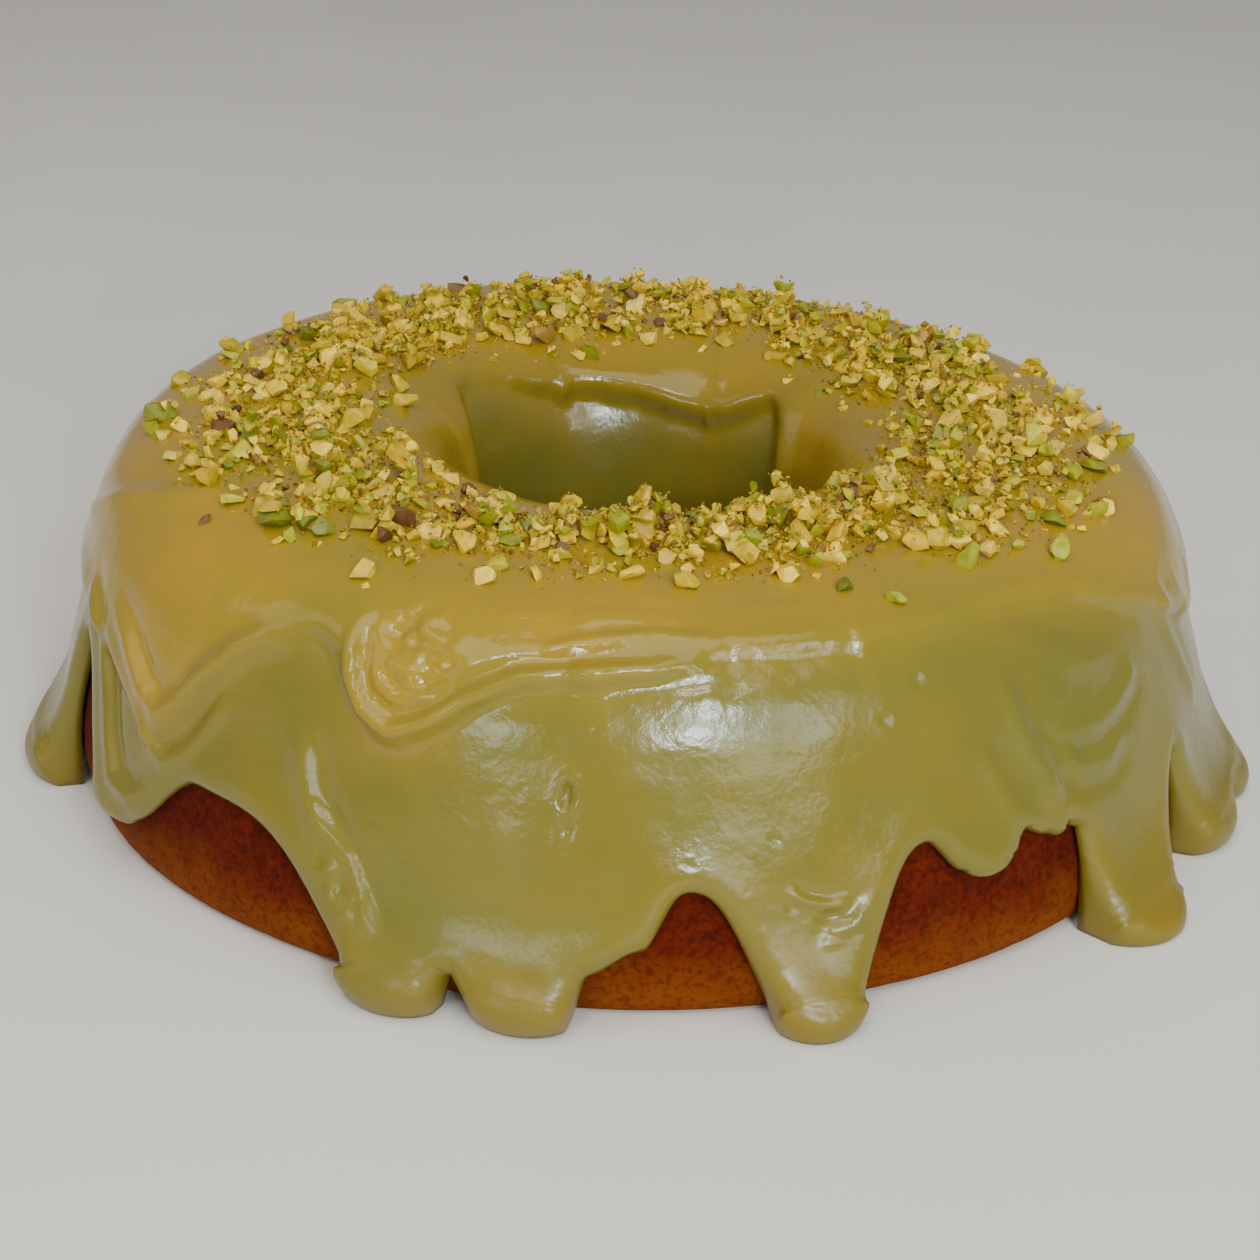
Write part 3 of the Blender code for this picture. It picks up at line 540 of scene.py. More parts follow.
def add_mesh(name, points, faces, mat, smooth=True, attributes=None):
    """A mesh piece from arrays of points and triangles, in millimetres round the cake's axis."""
    faces = np.asarray(faces, dtype=np.int32)
    sides = faces.shape[1]
    mesh = bpy.data.meshes.new(name)
    mesh.vertices.add(len(points))
    mesh.vertices.foreach_set("co", (np.asarray(points) * MM + AXIS).astype(np.float32).ravel())
    mesh.loops.add(faces.size)
    mesh.loops.foreach_set("vertex_index", faces.ravel())
    mesh.polygons.add(len(faces))
    mesh.polygons.foreach_set("loop_start", np.arange(0, faces.size, sides, dtype=np.int32))
    mesh.update(calc_edges=True)
    mesh.validate()
    for key, values in (attributes or {}).items():
        values = np.asarray(values, dtype=np.float32)
        kind = "FLOAT" if values.ndim == 1 else "FLOAT_COLOR"
        layer = mesh.attributes.new(key, kind, "POINT")
        layer.data.foreach_set("value" if kind == "FLOAT" else "color", values.ravel())
    if smooth:
        mesh.shade_smooth()
    mesh.materials.append(mat)
    obj = bpy.data.objects.new(name, mesh)
    bpy.context.scene.collection.objects.link(obj)
    return obj


# Low relief of the glaze

# Rolls with a crease on their inner side: height, half width, depth of the crease, then the line
# that they follow, as angle and as distance outwards along the glaze from the middle of the top
FOLDS = (
    (1.50, 1.4, 1.00, ((-26.6, 25.0), (-26.9, 33.0), (-26.2, 39.5), (-24.4, 44.4), (-21.4, 46.6),
                       (-18.4, 44.2), (-15.0, 39.5), (-10.5, 35.4), (-5.0, 33.6), (4.0, 32.4),
                       (14.0, 31.8))),
    (0.55, 1.0, 0.40, ((-24.6, 36.0), (-23.2, 40.0), (-20.8, 41.8), (-18.0, 39.5), (-14.5, 35.0))),
    (1.00, 2.4, 0.40, ((-83.0, 46.0), (-75.9, 40.1), (-66.5, 31.2), (-59.0, 24.2), (-53.5, 16.8))),
    (1.10, 1.9, 0.50, ((-70.5, 46.7), (-64.3, 54.2), (-60.4, 63.7), (-57.4, 73.2), (-55.0, 79.0),
                       (-51.4, 79.5), (-47.5, 75.0))),
    (1.20, 2.0, 0.60, ((-63.2, 46.2), (-56.8, 51.2), (-51.6, 58.0), (-48.3, 60.4), (-45.3, 56.0),
                       (-43.0, 49.2), (-39.3, 42.1), (-33.9, 37.3), (-29.6, 35.3))),
    (0.80, 1.6, 0.40, ((-53.5, 62.0), (-49.6, 68.0), (-46.9, 69.3), (-43.9, 64.2), (-41.6, 56.7),
                       (-39.6, 49.7))),
    (0.90, 2.4, 0.35, ((63.0, 40.0), (65.2, 46.9), (67.7, 58.2), (70.8, 72.0))),
    (0.90, 1.4, 0.45, ((-29.9, 63.5), (-26.7, 68.2), (-24.6, 72.5), (-22.9, 79.0), (-21.2, 87.0))),
    (0.50, 0.8, 0.25, ((-9.0, 29.6), (-3.6, 26.9), (1.2, 26.0), (8.5, 27.2))),
    (0.45, 0.7, 0.25, ((-17.5, 24.2), (-11.8, 24.0), (-5.9, 22.4), (0.2, 22.2), (6.3, 22.0),
                       (12.8, 20.7), (19.6, 20.4), (25.0, 19.1))),
    (0.45, 0.9, 0.20, ((-9.6, 31.0), (-3.5, 28.1), (2.2, 26.2))),
    (0.90, 2.4, 0.50, ((35.4, 40.0), (36.4, 46.0), (37.8, 54.0), (39.7, 62.2), (41.0, 68.0))),
    (0.60, 2.0, 0.35, ((31.6, 50.0), (33.7, 60.5), (35.5, 67.5), (39.2, 74.5))),
    (0.80, 2.3, 0.40, ((56.0, 48.5), (54.1, 51.4), (51.6, 53.7), (47.5, 55.6), (42.5, 53.5))),
    (0.70, 2.3, 0.40, ((52.0, 60.5), (48.0, 63.5), (44.5, 62.5), (41.2, 58.0))),
    (0.60, 2.6, 0.30, ((37.0, 31.0), (40.5, 35.5), (46.3, 42.1), (52.0, 45.5))),
    (0.80, 2.2, 0.45, ((-31.5, 50.0), (-30.0, 61.0), (-27.8, 70.0), (-25.2, 79.0), (-22.0, 88.0))),
    (0.70, 0.8, 0.30, ((12.6, 71.5), (14.2, 74.0), (16.4, 75.4), (18.4, 74.4))),
    (0.55, 0.8, 0.30, ((19.2, 76.0), (18.4, 79.4), (15.6, 80.6))),
    (0.50, 1.3, 0.30, ((15.0, 84.0), (18.0, 80.0), (20.4, 74.0))),
)
# Dimples with a raised edge: depth, half size across and along, angle, distance outwards, turn
DIMPLES = (
    (0.90, 4.2, 2.4, -22.2, 32.0, 25.0),
    (0.90, 3.4, 2.0, -18.0, 36.5, -20.0),
    (0.45, 1.0, 1.0, -22.6, 31.0, 0.0),
    (0.45, 1.1, 0.8, -18.4, 35.5, 30.0),
    (0.40, 0.8, 0.9, -19.6, 29.5, 0.0),
    (1.90, 1.15, 2.5, -5.7, 54.2, 3.0),
    (0.60, 0.90, 2.4, -5.6, 60.0, 0.0),
    (0.55, 1.1, 1.4, 26.7, 37.1, 0.0),
    (0.50, 0.9, 1.1, 22.7, 42.7, 0.0),
    (0.45, 1.0, 0.8, 11.8, 62.0, 20.0),
    (0.30, 0.7, 0.7, -3.3, 41.9, 0.0),
    (0.30, 0.6, 0.6, 4.6, 66.2, 0.0),
    (0.80, 1.0, 2.5, -27.2, 73.0, -14.0),
    (0.90, 1.3, 3.0, -25.0, 79.0, -16.0),
    (0.60, 0.8, 1.6, -26.2, 77.5, -14.0),
    (0.80, 2.2, 1.3, 16.2, 77.6, -10.0),
    (0.50, 1.0, 0.9, 13.0, 75.0, 0.0),
)
# Patches of fine wrinkles: height, size of a wrinkle, half size of the patch across and along,
# angle, distance outwards
WRINKLES = (
    (1.10, 4.6, 6.5, 8.0, -20.4, 33.0),
    (0.55, 2.3, 6.0, 7.5, -20.4, 33.0),
    (0.22, 2.6, 9.0, 5.0, -24.0, 77.0),
    (0.18, 2.4, 6.0, 4.5, 16.0, 77.0),
    (0.20, 3.0, 12.0, 4.0, -8.0, 25.0),
    (0.30, 5.5, 24.0, 6.0, 8.0, 30.0),
    (0.16, 3.6, 16.0, 14.0, 46.0, 52.0),
    (0.25, 4.0, 14.0, 8.0, 196.0, -27.0),
)


def line_distance(angles, s, radius, places):
    """Signed distance to a line on the glaze, and how far along the line, from 0 to 1."""
    best = np.full(len(angles), 1e6)
    sign = np.ones(len(angles))
    share = np.zeros(len(angles))
    count = len(places) - 1
    for k in range(count):
        (a0, s0), (a1, s1) = places[k], places[k + 1]
        x = np.radians((angles - a0 + 180.0) % 360.0 - 180.0) * radius
        y = s - s0
        ux, uy = math.radians(a1 - a0) * radius, s1 - s0
        t = np.clip((x * ux + y * uy) / (ux * ux + uy * uy), 0.0, 1.0)
        gap = np.hypot(x - t * ux, y - t * uy)
        near = gap < best
        best = np.where(near, gap, best)
        sign = np.where(near, np.sign(ux * y - uy * x), sign)
        share = np.where(near, (k + t) / count, share)
    return best * sign, share


def noise_values(points, size, seed, octaves=2):
    """Even noise from -1 to 1 at each point."""
    shift = Vector((seed * 7.3, seed * 3.1, seed * 1.7))
    return np.array([noise.fractal(Vector(p) / size + shift, 0.6, 2.0, octaves)
                     for p in points])


def relief(glaze, angles, s):
    """Folds, creases, dimples and low waves of the glaze, in millimetres outwards."""
    radius, _z = glaze.line.at(s)
    run = s - glaze.line.top
    total = np.zeros(len(angles))
    for height, width, crease, places in FOLDS:
        gap, share = line_distance(angles, run, radius, places)
        fade = smoothstep(0.0, 0.18, share) * smoothstep(1.0, 0.82, share)
        total += fade * (height * np.exp(-(gap / width) ** 2)
                         - crease * np.exp(-((gap + 1.9 * width) / width) ** 2))
    for depth, across, along, angle, where, turn in DIMPLES:
        x = np.radians((angles - angle + 180.0) % 360.0 - 180.0) * radius
        y = run - where
        c, d = math.cos(math.radians(turn)), math.sin(math.radians(turn))
        gap = np.hypot((x * c + y * d) / across, (y * c - x * d) / along)
        total += depth * (-np.exp(-gap ** 2) + 0.35 * np.exp(-((gap - 1.5) / 0.45) ** 2))
    return total


def wrinkles(line, angles, s, points):
    """Fine wrinkles in the places where the glaze has gathered, in millimetres outwards."""
    radius, _z = line.at(s)
    total = np.zeros(len(angles))
    for index, (height, size, across, along, angle, where) in enumerate(WRINKLES):
        x = np.radians((angles - angle + 180.0) % 360.0 - 180.0) * radius
        share = np.exp(-(x / across) ** 4 - ((s - line.top - where) / along) ** 4)
        near = np.nonzero(share > 0.02)[0]
        total[near] += height * share[near] * noise_values(points[near], size, 20 + index, 2)
    return total


def smoothed(values, faces, fixed, rounds):
    """Values at the points of a mesh, evened out between neighbours. Rounds are per point."""
    a = np.concatenate([faces[:, 0], faces[:, 1], faces[:, 2]])
    b = np.concatenate([faces[:, 1], faces[:, 2], faces[:, 0]])
    ends = np.concatenate([a, b])
    others = np.concatenate([b, a])
    count = np.bincount(ends, minlength=len(values))
    for turn in range(int(rounds.max())):
        mean = np.bincount(ends, weights=values[others], minlength=len(values)) / count
        values = np.where(fixed | (rounds <= turn), values, 0.5 * values + 0.5 * mean)
    return values


def glaze_mesh(glaze):
    """The closed shell of the glaze: a fine outer skin, an inner skin, and the lip between."""
    line = glaze.line
    rims = [glaze.resample(glaze.outer_rim, RIM_STEP),
            glaze.resample(glaze.hole_rim, HOLE_RIM_STEP)]
    contacts = [glaze.moved_in(rims[0], LIP_UNDERCUT, 1.0),
                glaze.moved_in(rims[1], LIP_UNDERCUT, -1.0)]
    rings = []
    for gap in RIM_LINES:
        ring = glaze.moved_in(rims[0], gap, 1.0)
        near = glaze.rim_distances(ring[:, 0], ring[:, 1])[0]
        rings.append(thinned(ring[near > gap * 0.95], line, 0.5 * RIM_STEP))
    hole_lines = [glaze.moved_in(rims[1], gap, -1.0) for gap in HOLE_RIM_LINES]
    lines = np.concatenate(rings + hole_lines)

    shoulder = line.top + SHOULDER_START
    end = line.corner + FOOT_ROWS
    grid = np.concatenate([
        spread_rows(line, 5.0, line.top - 27.0, HOLE_STEP, -90.0, 270.0),
        spread_rows(line, line.top - 25.5, shoulder - 1.4, TOP_STEP, -90.0, 270.0),
        spread_rows(line, shoulder, end, SIDE_STEP_FRONT, -FRONT, FRONT),
        spread_rows(line, shoulder, end, SIDE_STEP_BACK, FRONT, 360.0 - FRONT),
    ])
    grid = grid[grid[:, 1] < line.outer_s(outer_edge(grid[:, 0]))]
    grid = grid[grid[:, 1] > line.hole_s(hole_edge(grid[:, 0]))]
    outer_gap, hole_gap = glaze.rim_distances(grid[:, 0], grid[:, 1])
    grid = grid[(outer_gap > RIM_LINES[-1] + 0.7) & (hole_gap > 3.0)]
    points, outer_faces = triangles(glaze, rims, np.concatenate([lines, grid]))
    outer_gap, hole_gap = glaze.rim_distances(points[:, 0], points[:, 1])
    count0, count1 = len(rims[0]), len(rims[1])
    outer_gap[:count0] = 0.0
    hole_gap[count0:count0 + count1] = 0.0
    depth = glaze.depth(points[:, 0], points[:, 1], outer_gap, hole_gap)
    rim = np.arange(len(points)) < count0 + count1
    near_foot = np.exp(-((points[:, 1] - line.corner) / FOOT_WIDTH_UP) ** 2)
    inner = smoothstep(2.0, 6.0, outer_gap)
    depth = smoothed(depth, outer_faces, rim, 1.0 + inner * FOOT_SMOOTHING * near_foot)
    swell = quarter_round(np.minimum(outer_gap, hole_gap) / 4.0)
    first = glaze.skin(points[:, 0], points[:, 1], depth)
    depth = depth + swell * relief(glaze, points[:, 0], points[:, 1])
    depth = depth + swell * (0.16 * noise_values(first, 19.0, 1)
                             + 0.03 * noise_values(first, 5.0, 2)
                             + wrinkles(line, points[:, 0], points[:, 1], first))
    outer = glaze.skin(points[:, 0], points[:, 1], np.maximum(depth, 0.2))
    inside = glaze.upper_inside(points[:, 0], points[:, 1])

    inner_grid = np.concatenate([
        spread_rows(line, 14.0, line.top - 18.0, 5.0, -90.0, 270.0),
        spread_rows(line, line.top - 12.0, line.top + 12.0, 9.0, -90.0, 270.0),
        spread_rows(line, line.top + 17.0, line.corner + 1.0, 4.0, -90.0, 270.0),
    ])
    inner_grid = inner_grid[inner_grid[:, 1] < line.outer_s(outer_edge(inner_grid[:, 0]))]
    outer_gap, hole_gap = glaze.rim_distances(inner_grid[:, 0], inner_grid[:, 1])
    inner_grid = inner_grid[(outer_gap > 2.6) & (hole_gap > 4.0)]
    inner_points, inner_faces = triangles(glaze, contacts, inner_grid)
    lining = glaze.skin(inner_points[:, 0], inner_points[:, 1], np.zeros(len(inner_points)))

    shift = len(outer)
    faces = [outer_faces, inner_faces[:, [0, 2, 1]] + shift]
    for start, count, outward in ((0, count0, True), (count0, count1, False)):
        a = start + np.arange(count)
        b = start + (np.arange(count) + 1) % count
        first, second = (b, a) if outward else (a, b)
        faces.append(np.stack([first, second, shift + a if outward else shift + b], axis=1))
        faces.append(np.stack([first, shift + a, shift + b] if outward
                              else [first, shift + b, shift + a], axis=1))
    pour = np.concatenate([smoothstep(TONE_START, TONE_END, inside), np.zeros(len(inner_points))])
    return np.concatenate([outer, lining]), np.concatenate(faces), pour


# Crust

CRUST_SEGMENTS = 480
CRUST_ROW = 1.5
PORES = 0.45


def crust_mesh():
    """The ring of cake, with the pores of its crust. Every pore goes inwards."""
    path = smooth_path(CAKE_SECTION, 0.25)
    path[0, 1] = 0.0
    path[-1, 1] = 0.0
    run = np.concatenate(([0.0], np.cumsum(np.hypot(*np.diff(path, axis=0).T))))
    side = run[int(np.argmin(np.hypot(path[:, 0] - 109.4, path[:, 1] - 56.0)))]
    rows_at = np.concatenate((np.linspace(0.0, side, 22)[:-1],
                              np.arange(side, run[-1], CRUST_ROW), [run[-1]]))
    section = np.stack([np.interp(rows_at, run, path[:, 0]),
                        np.interp(rows_at, run, path[:, 1])], axis=1)
    tangent = np.gradient(section, axis=0)
    tangent /= np.hypot(tangent[:, 0], tangent[:, 1])[:, None]
    rows = len(section)
    angles = np.arange(CRUST_SEGMENTS) * 360.0 / CRUST_SEGMENTS
    a = np.repeat(angles, rows)
    r = np.tile(section[:, 0], CRUST_SEGMENTS)
    z = np.tile(section[:, 1], CRUST_SEGMENTS)
    smooth = place(a, r, z, side_wave(a, z))
    outside = np.tile(rows_at > side, CRUST_SEGMENTS) & (z > 0.05)
    sunk = np.zeros(len(a))
    picked = np.nonzero(outside)[0]
    fine = noise_values(smooth[picked], 1.5, 5, 3)
    wide = noise_values(smooth[picked], 5.0, 6, 2)
    sunk[picked] = PORES * (0.25 * (1.0 - fine) + 0.9 * smoothstep(0.25, 0.75, fine)
                            + 0.35 * smoothstep(0.0, 0.8, wide))
    r = r + np.tile(tangent[:, 1], CRUST_SEGMENTS) * sunk
    points = place(a, r, z, side_wave(a, z))
    k = np.arange(CRUST_SEGMENTS)[:, None]
    row = np.arange(rows)[None, :]
    here, there = k * rows, ((k + 1) % CRUST_SEGMENTS) * rows
    above = (row + 1) % rows
    quads = np.stack([here + row, here + above, there + above, there + row], axis=2)
    return points, quads.reshape(-1, 4)


# Nuts

# Where the nuts lie: angle, inner and outer radius of their ring
NUT_BAND = (
    (-90.0, 54.0, 102.0), (-70.0, 52.0, 99.0), (-50.0, 52.0, 98.5), (-30.0, 57.0, 95.0),
    (-15.0, 56.0, 91.0), (0.0, 54.0, 87.0), (15.0, 52.0, 87.5), (30.0, 50.0, 86.0),
    (45.0, 49.0, 93.0), (60.0, 48.0, 100.0), (80.0, 48.0, 103.0), (105.0, 50.0, 104.0),
    (135.0, 47.0, 97.0), (157.0, 52.0, 99.0), (180.0, 50.0, 103.0), (204.0, 44.0, 100.0),
    (230.0, 51.0, 94.0), (253.0, 54.0, 95.0),
)
# Sizes of crumb: how many, the shortest and the longest
GRAINS = (
    ("coarse", 520, 3.6, 7.6),
    ("middle", 1500, 1.8, 3.8),
    ("dust", 13000, 0.5, 1.5),
)
GRAIN_SEED = 90
GRAIN_SHAPES = 36
DUST_POINTS = 7
# Share of cream pieces, and of cream and green ones together
CREAM_SHARE = 0.64
FLESH_SHARE = 0.95
# How much a cut nut is evened out, and the angle from which its edges stay sharp
NUT_SMOOTHING = 0.22
NUT_SHARP_ANGLE = 24.0
# A distance that is far from every rim
FAR_FROM_RIM = 60.0
# Single pieces that lie apart: angle, radius, length, kind
STRAYS = (
    (-44.9, 95.5, 7.6, "green"), (-53.5, 95.8, 5.6, "green"), (-29.7, 99.1, 5.4, "cream"),
    (68.1, 99.7, 5.0, "skin"), (42.6, 88.5, 5.2, "cream"), (37.4, 84.5, 5.6, "cream"),
    (27.7, 98.6, 4.6, "green"), (-154.3, 53.4, 7.0, "skin"), (-28.6, 101.0, 2.6, "cream"),
)
# Bare patches between the crumbs: their size, how low the noise is there, share left out
BARE_SIZE = 15.0
BARE_LEVEL = -0.24
BARE_SHARE = 0.8
# Crumbs stay out of the hole and on the top
GRAIN_NEAREST = 48.0
GRAIN_FARTHEST = 108.0
HEAP_CELL = 0.7
HEAP_REACH = 112.0


def nut_ring(angle):
    """Inner and outer radius of the ring of nuts, as in the CAD source."""
    a = math.radians(angle)
    inner = NUT_RING_INNER + float(waves(angle, NUT_RING_WAVES))
    outer = (NUT_RING_OUTER - 6.0 * math.cos(a) + 4.0 * math.sin(a) ** 2
             + 0.8 * float(waves(angle + 70.0, NUT_RING_WAVES)))
    return inner, outer


def nut_places():
    """Where the large nuts lie, as in the CAD source: largest first, spread evenly."""
    rng = np.random.default_rng(NUT_SEED)
    lengths = np.sort(rng.triangular(NUT_LENGTHS[0], NUT_LENGTHS[0] + 0.8, NUT_LENGTHS[1],
                                     NUT_COUNT))[::-1]
    taken = []
    for length in lengths:
        best = None
        for _try in range(14):
            angle = rng.uniform(-90.0, 270.0)
            low, high = nut_ring(angle)
            share = 0.5 + 0.5 * (rng.uniform(-1.0, 1.0) + rng.uniform(-1.0, 1.0)) * 0.72
            radius = low + (high - low) * min(max(share, 0.0), 1.0)
            x, y = flat_place(angle, radius)
            space = min([math.hypot(x - p[0], y - p[1]) - 0.5 * (length + p[2]) * 0.8
                         for p in taken], default=50.0)
            if best is None or space > best[0]:
                best = (space, x, y, angle, radius)
        taken.append((best[1], best[2], length, best[3], best[4]))
    return taken


def flat_place(angle, radius):
    a = math.radians(angle)
    return radius * math.sin(a), -radius * math.cos(a)


def rotation(turn, tip, roll):
    ct, st = math.cos(turn), math.sin(turn)
    ca, sa = math.cos(tip), math.sin(tip)
    cb, sb = math.cos(roll), math.sin(roll)
    return (np.array([[ct, -st, 0.0], [st, ct, 0.0], [0.0, 0.0, 1.0]])
            @ np.array([[ca, 0.0, sa], [0.0, 1.0, 0.0], [-sa, 0.0, ca]])
            @ np.array([[1.0, 0.0, 0.0], [0.0, cb, -sb], [0.0, sb, cb]]))


def hull(points, cuts=0, rough=0.0, seed=0):
    """Points and triangles of the hull round some points, cut finer and roughened."""
    bm = bmesh.new()
    for point in points:
        bm.verts.new(point)
    bmesh.ops.convex_hull(bm, input=bm.verts)
    bmesh.ops.delete(bm, geom=[v for v in bm.verts if not v.link_faces], context="VERTS")
    bmesh.ops.triangulate(bm, faces=bm.faces)
    if cuts:
        bmesh.ops.subdivide_edges(bm, edges=bm.edges, cuts=cuts, use_grid_fill=True)
        bmesh.ops.smooth_vert(bm, verts=bm.verts, factor=NUT_SMOOTHING, use_axis_x=True,
                              use_axis_y=True, use_axis_z=True)
        bmesh.ops.triangulate(bm, faces=bm.faces)
    bmesh.ops.recalc_face_normals(bm, faces=bm.faces)
    bm.verts.index_update()
    found = np.array([v.co[:] for v in bm.verts])
    faces = np.array([[v.index for v in f.verts] for f in bm.faces], dtype=np.int32)
    if rough:
        out = np.array([v.normal[:] for v in bm.verts])
        size = np.abs(found).max()
        lumps = noise_values(found, 0.28 * size, 11 + seed, 2)
        found = found + out * (rough * size * lumps)[:, None]
    bm.free()
    return found, faces


def nut_points(rng, length):
    points = rng.normal(size=(NUT_POINTS, 3))
    points /= np.linalg.norm(points, axis=1)[:, None]
    points = np.sign(points) * np.abs(points) ** 0.75
    half = 0.5 * length * np.array([1.0, rng.uniform(0.62, 0.85), rng.uniform(0.45, 0.68)])
    points = points * half / np.abs(points).max(axis=0)
    turn = rng.uniform(0.0, 2.0 * math.pi)
    return points @ rotation(turn, rng.normal(0.0, 0.28), rng.normal(0.0, 0.28)).T


class Heap:
    """Heights of the top of the cake, which grow as the nuts come to lie on it."""

    def __init__(self, glaze):
        side = np.arange(-HEAP_REACH, HEAP_REACH, HEAP_CELL)
        self.first = side[0]
        x, y = np.meshgrid(side, side, indexing="ij")
        radius = np.hypot(x, y)
        self.height = np.full(x.shape, -50.0)
        ring = (radius > 44.0) & (radius < 111.0)
        angles = np.degrees(np.arctan2(x[ring], -y[ring]))
        s = glaze.line.top_s(radius[ring])
        far = np.full(len(s), FAR_FROM_RIM)
        depth = glaze.depth(angles, s, far, far)
        self.height[ring] = glaze.skin(angles, s, depth)[:, 2]

    def drop(self, x, y, half, sink):
        """Height where a piece with these half sizes comes to lie, and grow the heap there."""
        reach = int(half[0] / HEAP_CELL) + 1
        i = int(round((x - self.first) / HEAP_CELL))
        j = int(round((y - self.first) / HEAP_CELL))
        window = self.height[i - reach:i + reach + 1, j - reach:j + reach + 1]
        step = np.arange(-reach, reach + 1) * HEAP_CELL
        spread = np.hypot(*np.meshgrid(step, step, indexing="ij")) / max(half[0], HEAP_CELL)
        under = spread < 0.85
        rest = np.percentile(window[under], 60.0)
        centre = rest + half[2] * (1.0 - sink)
        crown = centre + half[2] * np.sqrt(np.maximum(0.0, 1.0 - spread ** 2))
        np.copyto(window, np.maximum(window, crown), where=under)
        return centre


def band(angle):
    """Inner and outer radius of the ring of nuts at an angle."""
    rows = sorted(NUT_BAND)
    at = [row[0] for row in rows] + [rows[0][0] + 360.0]
    q = (angle + 90.0) % 360.0 - 90.0
    return (float(np.interp(q, at, [row[1] for row in rows] + [rows[0][1]])),
            float(np.interp(q, at, [row[2] for row in rows] + [rows[0][2]])))


class Bag:
    """Pieces of one kind, joined into one mesh."""

    def __init__(self):
        self.points, self.faces, self.tints, self.count = [], [], [], 0

    def add(self, points, faces, tint):
        self.points.append(points)
        self.faces.append(faces + self.count)
        self.tints.append(np.tile(tint, (len(points), 1)))
        self.count += len(points)

    def piece(self, name, mat, smooth):
        return add_mesh(name, np.concatenate(self.points), np.concatenate(self.faces), mat,
                        smooth, {"tint": np.concatenate(self.tints)})


KINDS = ("cream", "green", "skin", "dust")


def kind_of(rng, size):
    """Which part of the nut a piece shows."""
    draw = rng.uniform()
    if size == "dust":
        return "dust"
    if draw < CREAM_SHARE:
        return "cream"
    if draw < FLESH_SHARE:
        return "green"
    return "skin"


def add_nut_pieces(glaze, mats):
    """The nuts of the CAD model in their places, and the crumbs between and on them."""
    heap = Heap(glaze)
    bags = {kind: Bag() for kind in KINDS}
    for index, (x, y, length, angle, radius) in enumerate(nut_places()):
        s = glaze.line.top_s(radius)
        far = np.array([FAR_FROM_RIM])
        depth = glaze.depth(np.array([angle]), np.array([s]), far, far)
        spot = glaze.skin(np.array([angle]), np.array([s]), depth)[0]
        rng = np.random.default_rng(NUT_SEED * 1000 + index)
        points, faces = hull(nut_points(rng, length), 2, 0.05, index)
        low, high = points[:, 2].min(), points[:, 2].max()
        sunk = min(max(NUT_SUNK * (high - low), 1.0), 1.6)
        points = points + [spot[0], spot[1], spot[2] - low - sunk]
        heap.drop(x, y, np.ptp(points, axis=0) * 0.5 * [0.8, 0.8, 1.0], 0.5)
        kind = kind_of(rng, "large")
        bags[kind].add(points, faces, tint_of(rng))

    rng = np.random.default_rng(GRAIN_SEED)
    for angle, radius, length, kind in STRAYS:
        points, faces = hull(nut_points(rng, length), 2, 0.05, int(radius))
        x, y = flat_place(angle, radius)
        centre = heap.drop(x, y, np.ptp(points, axis=0) * 0.5, 0.25)
        bags[kind].add(points + [x, y, centre], faces, tint_of(rng))
    for size, count, least, most in GRAINS:
        shapes = []
        for index in range(GRAIN_SHAPES):
            raw = nut_points(rng, 1.0)[:DUST_POINTS if size == "dust" else NUT_POINTS]
            cuts = 1 if size == "coarse" else 0
            shapes.append(hull(raw, cuts, 0.05 if cuts else 0.0, index))
        lengths = np.sort(rng.triangular(least, least * 1.1, most, count))[::-1]
        for length in lengths:
            angle = rng.uniform(-90.0, 270.0)
            low, high = band(angle)
            share = 0.5 + 0.5 * (rng.uniform(-1.0, 1.0) + rng.uniform(-1.0, 1.0)) * 0.6
            radius = min(max(low + (high - low) * share, GRAIN_NEAREST), GRAIN_FARTHEST)
            x, y = flat_place(angle, radius)
            level = noise.fractal(Vector((x, y, 0.0)) / BARE_SIZE, 0.6, 2.0, 2)
            if level < BARE_LEVEL and rng.uniform() < BARE_SHARE:
                continue
            points, faces = shapes[int(rng.integers(len(shapes)))]
            points = (points * length) @ rotation(rng.uniform(0.0, 6.28), rng.normal(0.0, 0.5),
                                                  rng.normal(0.0, 0.5)).T
            half = np.ptp(points, axis=0) * 0.5
            centre = heap.drop(x, y, half, 0.25)
            bags[kind_of(rng, size)].add(points + [x, y, centre], faces, tint_of(rng))
    for kind, bag in bags.items():
        piece = bag.piece("nuts_" + kind, mats[kind], kind != "dust")
        if piece.data.polygons:
            piece.data.set_sharp_from_angle(angle=math.radians(NUT_SHARP_ANGLE))
        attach(piece, "root")


def tint_of(rng):
    return np.array([rng.uniform(), rng.uniform(), rng.uniform(), 1.0])


# Materials

